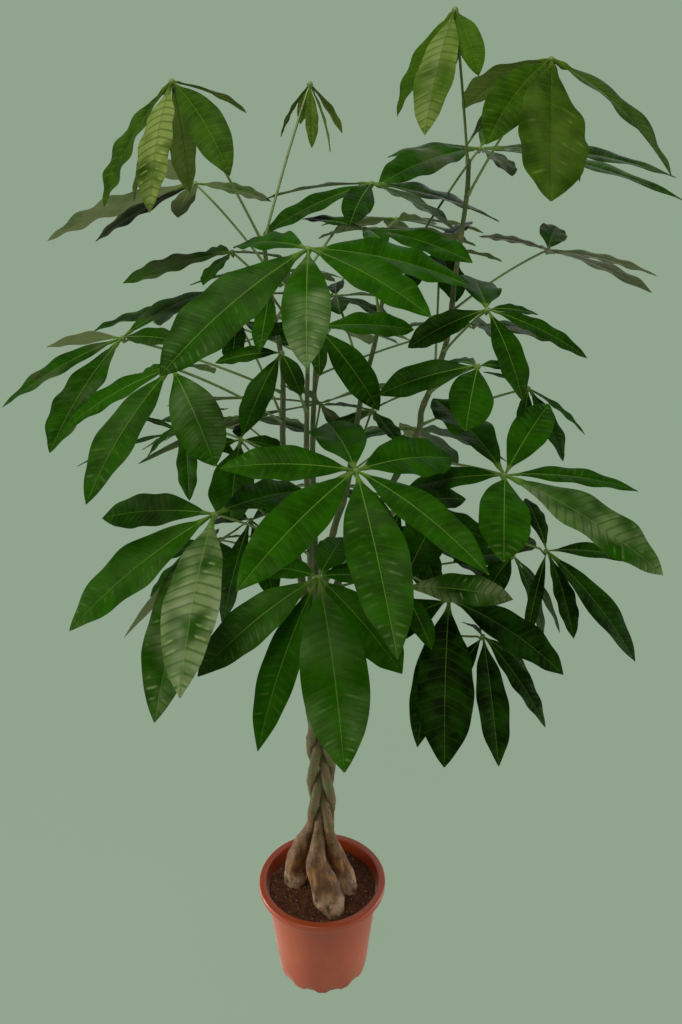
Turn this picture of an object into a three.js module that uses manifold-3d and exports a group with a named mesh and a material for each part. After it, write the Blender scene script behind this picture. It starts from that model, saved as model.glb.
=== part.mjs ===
// Potted money tree: five young trunks plaited together, with a crown of palm-shaped leaves, in a round
// nursery pot. Millimetres, +Z up. The origin is the middle of the pot's underside, and the plant's
// front looks along -Y. Bearings are degrees round +Z from +X, and pitches are degrees above the horizon.
import * as THREE from "three";
import { mergeVertices } from "three/addons/utils/BufferGeometryUtils.js";
import Module from "manifold-3d";

const wasm = await Module();
wasm.setup();

// Clearance kept between pieces that touch on the real plant.
const FIT_GAP = 0.3;

// Pot: a 19 cm nursery pot with a rolled lip, a ring foot notched for drainage, and holes in its floor.
const POT_SIDES = 36;
const POT_HEIGHT = 152;
const LIP_RADIUS = 94;
const LIP_DROP = 10;
const LIP_ROUND = 3;
const LIP_INNER_RADIUS = 84.5;
const LIP_THICKNESS = 4;
const LIP_UNDERCUT = 5;
const COLLAR = 2;
const BODY_TOP_RADIUS = 84;
const BODY_FOOT_RADIUS = 67;
const WALL = 2.4;
const FOOT_RING = 6;
const FLOOR_UNDERSIDE = 4;
const FLOOR_TOP = 7;
const PAD_RADIUS = 22;
const PAD_BEVEL = 2;
const NOTCH_COUNT = 12;
const NOTCH_WIDTH = 17;
const NOTCH_HEIGHT = 5;
const DRAIN_COUNT = 6;
const DRAIN_RADIUS = 4.5;
const DRAIN_RING = 40;
const DRAIN_SIDES = 8;

// Soil: fills the pot to two fingers below the lip, heaped a little round the trunks.
const SOIL_SIDES = 30;
const SOIL_EDGE_HEIGHT = 134;
const SOIL_HEAP = 6;
const SOIL_RINGS = 4;
const SOIL_INSET = WALL + FIT_GAP + 0.4;

// Trunks: each swells to a foot at the soil, narrows into the plait, and leaves it as a shoot.
const TRUNK_SIDES = 7;
const BURIED_HEIGHT = 106;
const TOE_HEIGHT = 137;
const SWELL_HEIGHT = 160;
const SHOULDER_HEIGHT = 200;
const PLAIT_START = 262;
const PLAIT_END = 570;
const PLAIT_TURN = 309;
const PLAIT_STEP = 28;
const PLAIT_HALF_WIDTH = 14;
const PLAIT_HALF_DEPTH = 13.5;
const STRAND_RADIUS = 5.4;
const SHOOT_TIP_RADIUS = 2.4;
const BURIED_SHARE = 0.35;
const SWELL_DEPTH = 20;
const GATHER_HEIGHT = 185;
const FOOT_HEIGHTS = [BURIED_HEIGHT, 121, TOE_HEIGHT, 153, 168, 184, SHOULDER_HEIGHT, 216, 231, 247];
const HOLE_RINGS = 4;

// Leaves: a petiole ends in a hub, and the leaflets spread from it.
const PETIOLE_STEPS = 5;
const PETIOLE_RADIUS = 1.5;
const PETIOLE_FOOT_RADIUS = 2.2;
const HUB_RADIUS = 3.6;
const HUB_HEIGHT = 3.6;
const HUB_UPRIGHT = 2;
const PETIOLE_BOW = 0.05;
const BLADE_UPPER_SIDE = 0.5;
const BLADE_LOWER_SIDE = 1.1;
const BLADE_WIDTH_SHARE = 0.32;
const BLADE_FOLD = 0.16;
const BLADE_WAVE = 0.012;

// How far a leaf's upper face leans out from its shoot, and how far towards the light in front, as shares
// of its upward part.
const OUTWARD_LEAN = 0.45;
const LIGHT_LEAN = 0.35;

// Where along a leaflet its face is square to the leaf's.
const FACED_SHARE = 0.35;

// An even fan of leaflets: how far round it reaches, how much steeper its outer leaflets rise, and how
// much shorter they are.
const FAN_ANGLE = 300;
const FAN_RISE = 12;
const FAN_SHORTENING = 0.35;

// A leaflet's half width along its length, as shares of its length and of its widest half width. A short
// leaflet has fewer sections.
const STALK_BEND = 0.25;
const BLADE_BEND = 0.5;
const SHORT_LEAFLET = 95;
const BLADE_OUTLINE = [[0.14, 0.2], [0.37, 0.84], [0.62, 1], [0.86, 0.56]];
const SHORT_BLADE_OUTLINE = [[0.15, 0.16], [0.5, 0.95], [0.82, 0.62]];

const PLASTIC = new THREE.MeshStandardMaterial({ color: 0xb5664b, roughness: 0.45, metalness: 0 });
const SOIL = new THREE.MeshStandardMaterial({ color: 0x35211a, roughness: 0.95, metalness: 0 });
const BARK = new THREE.MeshStandardMaterial({ color: 0x6f6247, roughness: 0.85, metalness: 0 });
const YOUNG_LEAF = new THREE.MeshStandardMaterial({ color: 0x5d8f2a, roughness: 0.4, metalness: 0 });
const GROWN_LEAF = new THREE.MeshStandardMaterial({ color: 0x2c5f1c, roughness: 0.35, metalness: 0 });

// The five trunks, by where their crowns stand. turn is where the strand starts in the plait, in degrees.
// shoulder and toe are the middle of the swollen foot at the two foot heights, and shoot is the route of
// the green shoot above the plait.
const TRUNKS = {
  left: {
    turn: 273.4,
    shoulder: [-36, 2],
    toe: [-41, 8],
    radius: 17,
    shoot: [[-20, 2, 612], [-32, 0, 700], [-43, 0, 810], [-41, 0, 905], [-49, 0, 965], [-60, 0, 1055]],
  },
  front: {
    turn: 345.4,
    shoulder: [-8, -28],
    toe: [17, -44],
    radius: 20,
    shoot: [[-8, -24, 612], [-10, -45, 700], [-12, -55, 800], [-10, -62, 890], [-8, -66, 945]],
  },
  right: {
    turn: 57.4,
    shoulder: [6, 34],
    toe: [10, 42],
    radius: 13,
    shoot: [
      [20, 14, 612], [45, 12, 680], [85, 8, 750], [121, 4, 828], [125, 0, 858],
      [137, 0, 890], [152, 0, 942], [158, 0, 1004], [167, 0, 1095], [168, 0, 1135],
    ],
  },
  middle: {
    turn: 129.4,
    shoulder: [18, 1],
    toe: [39, -8],
    radius: 15,
    shoot: [[8, -12, 612], [9, -10, 660], [20, -8, 711], [34, -6, 758], [47, -2, 841], [54, 0, 883],
      [70, 0, 948], [76, 0, 990]],
  },
  back: {
    turn: 201.4,
    shoulder: [-24, 32],
    toe: [-26, 40],
    radius: 12,
    shoot: [[-6, 22, 612], [-8, 55, 700], [-10, 95, 800], [-6, 130, 900], [-4, 150, 990]],
  },
};

// The leaves. Each grows on a trunk's shoot from the height foot, to the hub where its leaflets meet.
// arch is how far each leaflet bends down from its start to its tip, and a leaflet is written as
// [bearing, pitch, length], with how many times the usual width it has where that isn't 1.
const LEAVES = [
  {
    name: "right_1", trunk: "right", foot: 1132, hub: [145, -10, 1277], arch: 45, young: true,
    leaflets: [[167, -37, 114, 1.1], [120, -10, 110], [-120, -40, 140], [82, -16, 72], [12, -34, 58],
      [-60, -35, 80]],
  },
  {
    name: "right_2", trunk: "right", foot: 1100, hub: [245, -20, 1230], arch: 55, young: true,
    leaflets: [[122, 15, 145], [155, -16, 125], [-135, -12, 140], [90, 5, 135], [-97, -30, 168, 1.45],
      [40, -32, 135], [-27, -14, 176, 1.3]],
  },
  {
    name: "left_1", trunk: "left", foot: 1050, hub: [-146, -30, 1208], arch: 50, young: true,
    width: 0.29,
    leaflets: [[-172, -32, 146, 1.4], [140, -30, 140], [-103, -35, 150], [92, -25, 135], [-47, -20, 135],
      [35, 10, 90]],
  },
  {
    name: "left_2", trunk: "left", foot: 1052, hub: [-7, 60, 1220], arch: 45, young: true,
    width: 0.26,
    leaflets: [[175, -35, 65], [-85, -50, 72], [110, -20, 55], [5, -50, 75], [45, -20, 70]],
  },
  {
    name: "left_3", trunk: "left", foot: 1025, hub: [-150, 100, 1118], arch: 35, light: 0.8,
    leaflets: [[-160, -3, 190], [-173, -11, 142, 1.1], [-100, -14, 78, 1.2], [5, 5, 95], [130, 30, 120]],
  },
  {
    name: "middle_1", trunk: "middle", foot: 985, hub: [206, 170, 1164], arch: 40, light: 0.8, width: 0.27,
    leaflets: [[175, 15, 120], [-146, 3, 168, 1.2], [66, 40, 120], [-71, -4, 96, 1.4], [7, 13, 278, 0.6],
      [-25, 5, 262, 0.55]],
  },
  {
    name: "left_4", trunk: "left", foot: 965, hub: [64, 60, 1116], arch: 35, light: 0.5,
    leaflets: [[-162, -6, 145, 0.8], [-109, -12, 98, 1.1], [-36, -8, 124, 1.3], [156, 11, 150, 0.8],
      [13, 3, 170, 1.1]],
  },
  {
    name: "middle_2", trunk: "middle", foot: 970, hub: [55, 10, 1065], arch: 35,
    leaflets: [[150, 25, 85], [-130, 10, 80], [-75, 5, 80], [-33, 3, 140], [22, 10, 150]],
  },
  {
    name: "front_1", trunk: "front", foot: 915, hub: [-3, -150, 1046], arch: 40,
    leaflets: [[130, 20, 130], [-148, -15, 190], [-90, -25, 140], [-27, -5, 140], [24, 8, 186, 0.85]],
  },
  {
    name: "left_5", trunk: "left", foot: 1000, hub: [-98, 20, 1040], arch: 30, light: 0.7,
    leaflets: [[-165, 0, 130], [-110, -10, 80], [130, 10, 80], [45, 8, 85]],
  },
  {
    name: "left_6", trunk: "left", foot: 880, hub: [-223, -20, 947], arch: 40, light: 0.6,
    leaflets: [[168, 12, 100, 0.7], [-163, -8, 157, 0.75], [-120, -22, 163, 1.1], [-30, 20, 85],
      [45, 40, 135]],
  },
  {
    name: "left_7", trunk: "left", foot: 845, hub: [-145, -130, 930], arch: 45,
    leaflets: [[-170, -6, 130, 0.75], [-126, -21, 168, 0.9], [-52, -26, 118, 1.35], [70, 10, 90],
      [145, 5, 60]],
  },
  {
    name: "front_2", trunk: "front", foot: 938, hub: [-49, -60, 999], arch: 40,
    leaflets: [[-164, -19, 98, 1.4], [-95, -20, 85], [150, 10, 70], [50, 10, 70]],
  },
  {
    name: "front_3", trunk: "front", foot: 870, hub: [-35, -100, 941], arch: 40,
    leaflets: [[-125, -30, 100], [-65, -15, 65], [170, 10, 75]],
  },
  {
    name: "middle_3", trunk: "middle", foot: 905, hub: [2, -50, 962], arch: 35,
    leaflets: [[8, 15, 110, 1.2], [-25, -32, 115], [-85, -35, 60], [75, 12, 60], [170, 10, 70]],
  },
  {
    name: "right_3", trunk: "right", foot: 930, hub: [187, -60, 982], arch: 40,
    leaflets: [[93, 38, 92, 1.8], [180, -6, 95, 1.2], [26, 13, 72, 0.7], [0, -5, 126, 0.7],
      [-52, -38, 108, 1.1]],
  },
  {
    name: "right_4", trunk: "right", foot: 880, hub: [173, -100, 927], arch: 40, light: 0.5,
    leaflets: [[178, 3, 110, 1.1], [-105, -10, 102, 1.4], [40, 10, 75, 0.6], [110, 15, 75]],
  },
  {
    name: "right_5", trunk: "right", foot: 840, hub: [259, 30, 880], arch: 45,
    leaflets: [[168, 40, 60, 0.6], [-25, -13, 90, 0.8], [-55, -29, 102, 1.3], [-110, -35, 70]],
  },
  {
    name: "right_6", trunk: "right", foot: 795, hub: [199, -150, 821], arch: 45, light: 0,
    leaflets: [[117, 45, 150, 1.15], [55, 48, 130], [175, 12, 105, 1.1], [5, 14, 150, 0.6],
      [-32, -2, 184, 1.15], [-100, 0, 130, 1.25]],
  },
  {
    name: "front_4", trunk: "front", foot: 760, hub: [42, -230, 849], arch: 40,
    leaflets: [[-172, 23, 127], [-125, 0, 180, 0.8], [-81, -8, 209, 0.8], [-53, 5, 180, 0.65],
      [40, 15, 135, 1.2], [104, 30, 118, 1.4]],
  },
  {
    name: "left_8", trunk: "front", foot: 690, hub: [-103, -170, 785], arch: 45,
    leaflets: [[165, 15, 135], [-153, -10, 185, 0.95], [-94, -10, 207, 0.85], [-114, -32, 216, 0.85],
      [105, -35, 120, 1.3], [45, 20, 135, 1.2]],
  },
  {
    name: "front_5", trunk: "front", foot: 650, hub: [4, -170, 714], arch: 45,
    leaflets: [[-147, -5, 162, 0.9], [-80, -15, 208], [-40, -12, 135, 1.2], [-129, -36, 192, 0.65],
      [40, 5, 90], [72, 30, 92, 1.3], [135, 10, 100]],
  },
  {
    name: "middle_4", trunk: "middle", foot: 670, hub: [97, -120, 679], arch: 40,
    leaflets: [[-15, 20, 125], [57, 55, 110, 1.5], [-67, -10, 85], [175, -10, 85]],
  },
  {
    name: "right_7", trunk: "right", foot: 680, hub: [158, -80, 645], arch: 50,
    leaflets: [[-98, -15, 199, 1.05], [-121, -40, 180, 0.7], [-152, 8, 116, 1.1], [-31, 3, 156, 1.1],
      [40, 0, 110]],
  },
  {
    name: "right_8", trunk: "right", foot: 650, hub: [211, -30, 570], arch: 50,
    width: 0.26, bow: -0.3,
    leaflets: [[-90, -10, 170], [-47, -15, 135], [0, -20, 100], [-148, -28, 95], [100, 10, 80]],
  },
  {
    name: "right_9", trunk: "right", foot: 730, hub: [286, -20, 684], arch: 50,
    leaflets: [[0, 18, 124, 0.7], [-47, -13, 168, 1.0], [-72, -24, 114, 0.9], [-120, -35, 120, 0.5],
      [100, 55, 90]],
  },
  {
    name: "right_10", trunk: "right", foot: 975, hub: [292, 120, 1041], arch: 30, light: 0.7,
    leaflets: [[70, 38, 74, 1.6], [170, 25, 90], [-10, 2, 140, 0.7], [-46, -3, 152, 0.85], [-105, 12, 65]],
  },
  {
    name: "back_1", trunk: "back", foot: 790, hub: [0, 130, 841], arch: 35, light: 0.2,
    leaflets: [[172, 15, 220, 0.6], [-155, 5, 260, 0.6], [120, 20, 120], [-5, 30, 125], [-65, -5, 80]],
  },
  {
    name: "left_9", trunk: "left", foot: 740, hub: [-100, 40, 812], arch: 40, light: 1, width: 0.42,
    leaflets: [[-170, 5, 70], [-105, -45, 105, 1.5], [90, 25, 75], [0, 5, 60]],
  },
  {
    name: "left_10", trunk: "left", foot: 800, hub: [-165, 20, 842], arch: 40,
    leaflets: [[-80, -50, 100], [-155, -20, 65], [40, 25, 65], [130, 10, 65]],
  },
  {
    name: "left_11", trunk: "left", foot: 660, hub: [-89, 20, 711], arch: 45,
    leaflets: [[-163, -18, 225, 0.35], [-115, -35, 140], [-60, -30, 110], [60, 10, 90], [130, 5, 100]],
  },
  {
    name: "middle_5", trunk: "middle", foot: 640, hub: [103, -10, 738], arch: 40, light: 0.6,
    leaflets: [[-60, -25, 115], [-10, 0, 130], [35, 15, 110], [100, 20, 90], [-120, -30, 90]],
  },
  {
    name: "right_12", trunk: "right", foot: 900, hub: [153, 110, 1041], arch: 40,
    leaflets: [[-167, 11, 90, 1.2], [-128, -12, 108], [-82, -16, 100, 1.2], [-15, 10, 80, 1.2],
      [56, 42, 93]],
  },
  {
    name: "right_13", trunk: "right", foot: 620, hub: [263, 60, 645], arch: 50,
    leaflets: [[-47, -36, 120, 0.8], [0, -33, 140, 0.7], [-160, 27, 92, 1.3], [-128, 0, 92, 1.2],
      [60, 20, 95]],
  },
  {
    name: "left_12", trunk: "left", foot: 680, hub: [-187, 90, 811], arch: 35,
    leaflets: [[-167, 1, 142, 0.5], [169, 34, 60, 0.7], [-21, 1, 87], [68, 10, 74]],
  },
  {
    name: "middle_6", trunk: "middle", foot: 760, hub: [68, 70, 844], arch: 40,
    leaflets: [[-170, 27, 70, 1.2], [-134, 6, 75, 1.2], [-64, -2, 78, 1.2], [-11, 44, 60], [95, 0, 62]],
  },
  {
    name: "middle_7", trunk: "middle", foot: 890, hub: [22, 60, 988], arch: 40,
    leaflets: [[-85, 5, 65, 1.2], [-30, 0, 85, 1.2], [-150, 5, 85, 1.2], [30, 15, 80], [150, 20, 80],
      [90, 30, 70]],
  },
  {
    name: "left_13", trunk: "left", foot: 850, hub: [-100, 60, 960], arch: 40,
    leaflets: [[-90, -15, 80, 1.2], [-30, 0, 85, 1.2], [-150, 0, 85, 1.2], [30, 15, 80], [110, 20, 80]],
  },
  {
    name: "right_14", trunk: "right", foot: 665, hub: [130, 30, 700], arch: 45,
    leaflets: [[-95, -20, 85, 1.3], [-30, -5, 85, 1.2], [-160, 0, 80, 1.2], [40, 15, 80], [120, 20, 75]],
  },
  { name: "back_2", trunk: "back", foot: 940, hub: [-70, 240, 1010], arch: 40, spread: [115, 6, 5, 145] },
  { name: "back_3", trunk: "back", foot: 960, hub: [105, 230, 1080], arch: 40, spread: [60, 6, 5, 150] },
  { name: "back_4", trunk: "back", foot: 900, hub: [-190, 190, 960], arch: 40, spread: [140, 6, 5, 160] },
  { name: "back_5", trunk: "back", foot: 880, hub: [215, 190, 940], arch: 40, spread: [40, 6, 5, 160] },
  { name: "back_6", trunk: "back", foot: 850, hub: [10, 300, 925], arch: 45, spread: [90, 6, 5, 180] },
  { name: "back_7", trunk: "back", foot: 740, hub: [-130, 230, 800], arch: 45, spread: [120, 6, 0, 180] },
  { name: "back_8", trunk: "back", foot: 720, hub: [140, 240, 780], arch: 45, spread: [60, 6, 0, 180] },
  { name: "back_9", trunk: "back", foot: 680, hub: [0, 250, 690], arch: 45, spread: [90, 5, -5, 180] },
  { name: "back_10", trunk: "back", foot: 640, hub: [-150, 110, 650], arch: 45, spread: [170, 5, -5, 150] },
  { name: "right_11", trunk: "right", foot: 640, hub: [150, 120, 640], arch: 45, spread: [30, 5, -5, 150] },
];

const UP = new THREE.Vector3(0, 0, 1);
const radians = THREE.MathUtils.degToRad;
const mix = THREE.MathUtils.lerp;
const vector = (list) => new THREE.Vector3(...list);

// A closed geometry as a manifold-3d solid, with its shared vertices merged first.
function solidFrom(geometry) {
  const bare = geometry.clone();
  bare.deleteAttribute("normal");
  bare.deleteAttribute("uv");
  const merged = mergeVertices(bare, 1e-4);
  return new wasm.Manifold(
    new wasm.Mesh({
      numProp: 3,
      vertProperties: merged.getAttribute("position").array,
      triVerts: merged.index.array,
    }),
  );
}

function geometryFrom(solid) {
  const mesh = solid.getMesh();
  const geometry = new THREE.BufferGeometry();
  geometry.setAttribute("position", new THREE.BufferAttribute(mesh.vertProperties, 3));
  geometry.setIndex(new THREE.BufferAttribute(mesh.triVerts, 1));
  geometry.computeVertexNormals();
  return geometry;
}

// The points and faces of one closed skin, added ring by ring. A ring is a list of point numbers, and all
// rings of a skin run the same way round.
class Skin {
  points = [];
  faces = [];

  ring(places) {
    const first = this.points.length;
    this.points.push(...places);
    return places.map((_, index) => first + index);
  }

  // Every second side is split the other way, so that a blade's two faces are split alike.
  band(low, high) {
    low.forEach((corner, index) => {
      const next = (index + 1) % low.length;
      if (index % 2) {
        this.faces.push([corner, low[next], high[next]], [corner, high[next], high[index]]);
      } else {
        this.faces.push([corner, low[next], high[index]], [low[next], high[next], high[index]]);
      }
    });
  }

  // Bands through a row of rings, each given as places.
  bands(from, rows) {
    return rows.reduce((low, places) => {
      const high = this.ring(places);
      this.band(low, high);
      return high;
    }, from);
  }

  point(ring, place) {
    const [tip] = this.ring([place]);
    ring.forEach((corner, index) => this.faces.push([corner, ring[(index + 1) % ring.length], tip]));
  }

  bottom(ring) {
    for (let index = 1; index + 1 < ring.length; index++) {
      this.faces.push([ring[0], ring[index + 1], ring[index]]);
    }
  }

  top(ring) {
    for (let index = 1; index + 1 < ring.length; index++) {
      this.faces.push([ring[0], ring[index], ring[index + 1]]);
    }
  }

  geometry() {
    const geometry = new THREE.BufferGeometry();
    const positions = this.points.flatMap((point) => point.toArray());
    geometry.setAttribute("position", new THREE.Float32BufferAttribute(positions, 3));
    geometry.setIndex(this.faces.flat());
    return geometry;
  }
}

// A tube through rings of places, closed at both ends.
function tubeSolid(rows) {
  const skin = new Skin();
  const first = skin.ring(rows[0]);
  const last = skin.bands(first, rows.slice(1));
  skin.bottom(first);
  skin.top(last);
  return solidFrom(skin.geometry());
}

// A regular ring of points round a centre, in the plane of two directions.
function ring(centre, radius, sides, across, along) {
  return Array.from({ length: sides }, (_, side) => {
    const angle = (2 * Math.PI * side) / sides;
    return centre
      .clone()
      .addScaledVector(across, radius * Math.cos(angle))
      .addScaledVector(along, radius * Math.sin(angle));
  });
}

const EAST = new THREE.Vector3(1, 0, 0);
const NORTH = new THREE.Vector3(0, 1, 0);

function piece(name, solid, material) {
  const mesh = new THREE.Mesh(geometryFrom(solid), material);
  mesh.name = name;
  return mesh;
}

// The pot's inner wall follows its outer one at the wall's thickness.
function potRadius(height) {
  return mix(BODY_FOOT_RADIUS, BODY_TOP_RADIUS, height / POT_HEIGHT);
}

function potSolid() {
  const lipBottom = POT_HEIGHT - LIP_DROP;
  const profile = [
    [0, FLOOR_TOP],
    [potRadius(FLOOR_TOP) - WALL, FLOOR_TOP],
    [potRadius(POT_HEIGHT) - WALL, POT_HEIGHT - LIP_ROUND],
    [LIP_INNER_RADIUS, POT_HEIGHT],
    [LIP_RADIUS - LIP_ROUND, POT_HEIGHT],
    [LIP_RADIUS, POT_HEIGHT - LIP_ROUND],
    [LIP_RADIUS, lipBottom + LIP_ROUND],
    [LIP_RADIUS - LIP_THICKNESS / 2, lipBottom],
    [LIP_RADIUS - LIP_THICKNESS, lipBottom + LIP_UNDERCUT],
    [potRadius(lipBottom) + COLLAR, lipBottom + LIP_UNDERCUT],
    [potRadius(lipBottom), lipBottom],
    [BODY_FOOT_RADIUS, 0],
    [BODY_FOOT_RADIUS - FOOT_RING, 0],
    [BODY_FOOT_RADIUS - FOOT_RING, FLOOR_UNDERSIDE],
    [PAD_RADIUS, FLOOR_UNDERSIDE],
    [PAD_RADIUS - PAD_BEVEL, 0],
    [0, 0],
  ];
  const outline = profile.map(([radius, height]) => new THREE.Vector2(radius, height)).reverse();
  const lathe = new THREE.LatheGeometry(outline, POT_SIDES);
  lathe.rotateX(Math.PI / 2);
  let pot = solidFrom(lathe);
  for (let index = 0; index < NOTCH_COUNT; index++) {
    const notch = new THREE.BoxGeometry(3 * FOOT_RING, NOTCH_WIDTH, 2 * NOTCH_HEIGHT);
    notch.translate(BODY_FOOT_RADIUS, 0, 0);
    notch.rotateZ((2 * Math.PI * (index + 0.5)) / NOTCH_COUNT);
    pot = pot.subtract(solidFrom(notch));
  }
  for (let index = 0; index < DRAIN_COUNT; index++) {
    const drain = new THREE.CylinderGeometry(DRAIN_RADIUS, DRAIN_RADIUS, 4 * FLOOR_TOP, DRAIN_SIDES);
    drain.rotateX(Math.PI / 2);
    drain.translate(DRAIN_RING, 0, 0);
    drain.rotateZ((2 * Math.PI * index) / DRAIN_COUNT);
    pot = pot.subtract(solidFrom(drain));
  }
  return pot;
}

// The middle and radius of a trunk's buried foot, its swollen foot and its strand of the plait.
function strandPlace(turn, height) {
  const angle = radians(turn + (360 * (height - PLAIT_START)) / PLAIT_TURN);
  return new THREE.Vector3(
    PLAIT_HALF_WIDTH * Math.sin(angle),
    PLAIT_HALF_DEPTH * Math.sin(2 * angle),
    height,
  );
}

function footPlace(trunk, height) {
  const rise = (Math.min(height, SHOULDER_HEIGHT) - TOE_HEIGHT) / (SHOULDER_HEIGHT - TOE_HEIGHT);
  const foot = new THREE.Vector3(
    mix(trunk.toe[0], trunk.shoulder[0], rise),
    mix(trunk.toe[1], trunk.shoulder[1], rise),
    height,
  );
  const swell = THREE.MathUtils.smoothstep(height, BURIED_HEIGHT - SWELL_DEPTH, SWELL_HEIGHT);
  const taper = THREE.MathUtils.smoothstep(height, SWELL_HEIGHT, PLAIT_START);
  const gather = THREE.MathUtils.smoothstep(height, GATHER_HEIGHT, PLAIT_START);
  const radius = mix(trunk.radius * mix(BURIED_SHARE, 1, swell), STRAND_RADIUS, taper);
  return { place: foot.lerp(strandPlace(trunk.turn, PLAIT_START).setZ(height), gather), radius };
}

// All the places up a trunk where it gets a ring, each with its radius.
function trunkPlaces(trunk) {
  const places = FOOT_HEIGHTS.map((height) => footPlace(trunk, height));
  for (let height = PLAIT_START; height <= PLAIT_END; height += PLAIT_STEP) {
    places.push({ place: strandPlace(trunk.turn, height), radius: STRAND_RADIUS });
  }
  const top = trunk.shoot.at(-1)[2];
  for (const point of trunk.shoot) {
    const share = (point[2] - PLAIT_END) / (top - PLAIT_END);
    places.push({ place: vector(point), radius: mix(STRAND_RADIUS, SHOOT_TIP_RADIUS, Math.sqrt(share)) });
  }
  return places;
}

function trunkSolid(trunk) {
  const rings = trunkPlaces(trunk).map(({ place, radius }) => ring(place, radius, TRUNK_SIDES, EAST, NORTH));
  return tubeSolid(rings);
}

// The plain hole that a trunk's buried foot stands in, larger all round by the gap.
function footHole(trunk) {
  const rings = FOOT_HEIGHTS.slice(0, HOLE_RINGS).map((height) => {
    const { place, radius } = footPlace(trunk, height);
    const grown = radius + FIT_GAP / Math.cos(Math.PI / TRUNK_SIDES);
    return ring(place, grown, TRUNK_SIDES, EAST, NORTH);
  });
  rings[0].forEach((point) => point.setZ(BURIED_HEIGHT - FIT_GAP));
  return tubeSolid(rings);
}

function soilSolid() {
  const floor = FLOOR_TOP + FIT_GAP;
  const profile = [[0, floor], [potRadius(floor) - SOIL_INSET, floor]];
  for (let index = 0; index <= SOIL_RINGS; index++) {
    const inwards = index / SOIL_RINGS;
    const height = SOIL_EDGE_HEIGHT + SOIL_HEAP * THREE.MathUtils.smoothstep(inwards, 0, 1);
    profile.push([(potRadius(SOIL_EDGE_HEIGHT) - SOIL_INSET) * (1 - inwards), height]);
  }
  const outline = profile.map(([radius, height]) => new THREE.Vector2(radius, height));
  const lathe = new THREE.LatheGeometry(outline, SOIL_SIDES);
  lathe.rotateX(Math.PI / 2);
  return Object.values(TRUNKS).reduce((soil, trunk) => soil.subtract(footHole(trunk)), solidFrom(lathe));
}

// The middle, radius and direction of a trunk at a height, read along its rings.
function shootAt(trunk, height) {
  const places = trunkPlaces(trunk);
  const above = places.findIndex(({ place }) => place.z > height);
  const high = places[above === -1 ? places.length - 1 : above];
  const low = places[above === -1 ? places.length - 2 : above - 1];
  const share = (height - low.place.z) / (high.place.z - low.place.z);
  return {
    place: low.place.clone().lerp(high.place, share),
    radius: mix(low.radius, high.radius, share),
    direction: high.place.clone().sub(low.place).normalize(),
  };
}

// The petiole's middle line: it starts a gap off its shoot, arches up a little, and ends under the hub.
function petioleCurve(leaf) {
  const shoot = shootAt(TRUNKS[leaf.trunk], leaf.foot);
  const hub = vector(leaf.hub);
  const outwards = hub.clone().sub(shoot.place);
  outwards.addScaledVector(shoot.direction, -outwards.dot(shoot.direction)).normalize();
  const reach = hub.distanceTo(shoot.place);
  const bow = shoot.place.clone().lerp(hub, 0.5).addScaledVector(UP, (leaf.bow ?? PETIOLE_BOW) * reach);
  const start = bow.clone().sub(shoot.place).normalize();
  const standOff = shoot.radius + FIT_GAP + PETIOLE_FOOT_RADIUS * Math.abs(start.dot(shoot.direction));
  const foot = shoot.place.clone().addScaledVector(outwards, standOff);
  return new THREE.QuadraticBezierCurve3(foot, bow, hub);
}

// A ring of corners round a centre, at the given bearings, in the plane across an axis.
function cornerRing(centre, radius, bearings, axis) {
  const east = EAST.clone().addScaledVector(axis, -EAST.dot(axis)).normalize();
  const north = new THREE.Vector3().crossVectors(axis, east);
  return bearings.map((bearing) =>
    centre
      .clone()
      .addScaledVector(east, radius * Math.cos(radians(bearing)))
      .addScaledVector(north, radius * Math.sin(radians(bearing))),
  );
}

// The direction that a leaf's upper face looks in.
function leafFace(leaf) {
  const outwards = vector(leaf.hub).sub(shootAt(TRUNKS[leaf.trunk], leaf.foot).place).setZ(0).normalize();
  const face = outwards.multiplyScalar(OUTWARD_LEAN).add(UP);
  return face.addScaledVector(NORTH, -(leaf.light ?? LIGHT_LEAN)).normalize();
}

// The sections of one leaflet, from its stalk to near its tip, and its tip. It is a thin arched blade,
// thickest at its midrib, folded a little there and waved at its edges.
function leafletSections(leaf, [bearing, pitch, length, widening = 1]) {
  const arch = radians(leaf.arch * BLADE_BEND);
  const start = radians(pitch - leaf.arch * STALK_BEND);
  const heading = new THREE.Vector3(Math.cos(radians(bearing)), Math.sin(radians(bearing)), 0);
  const alongAt = (share) => {
    const slope = start - arch * share;
    return heading.clone().multiplyScalar(Math.cos(slope)).addScaledVector(UP, Math.sin(slope));
  };
  const hub = vector(leaf.hub);
  const halfWidth = (length * widening * (leaf.width ?? BLADE_WIDTH_SHARE)) / 2;
  const ribAt = (share) => {
    const slope = start - arch * share;
    const run = (Math.sin(start) - Math.sin(slope)) / arch;
    const rise = (Math.cos(slope) - Math.cos(start)) / arch;
    return hub.clone().addScaledVector(heading, run * length).addScaledVector(UP, rise * length);
  };
  const outline = length < SHORT_LEAFLET ? SHORT_BLADE_OUTLINE : BLADE_OUTLINE;
  const across = new THREE.Vector3().crossVectors(leafFace(leaf), alongAt(FACED_SHARE));
  const sections = outline.map(([share, width], index) => {
    const along = alongAt(share);
    const side = across.clone().addScaledVector(along, -across.dot(along)).normalize();
    const normal = new THREE.Vector3().crossVectors(along, side);
    const half = halfWidth * width;
    const wave = (index % 2 ? -1 : 1) * BLADE_WAVE * length * width;
    const corners = [
      [0, -BLADE_LOWER_SIDE],
      [half, BLADE_FOLD * half + wave],
      [0, BLADE_UPPER_SIDE],
      [-half, BLADE_FOLD * half - wave],
    ];
    const rib = ribAt(share);
    const placed = ([off, rise]) => rib.clone().addScaledVector(side, off).addScaledVector(normal, rise);
    return corners.map(placed);
  });
  return [sections, ribAt(1)];
}

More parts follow.
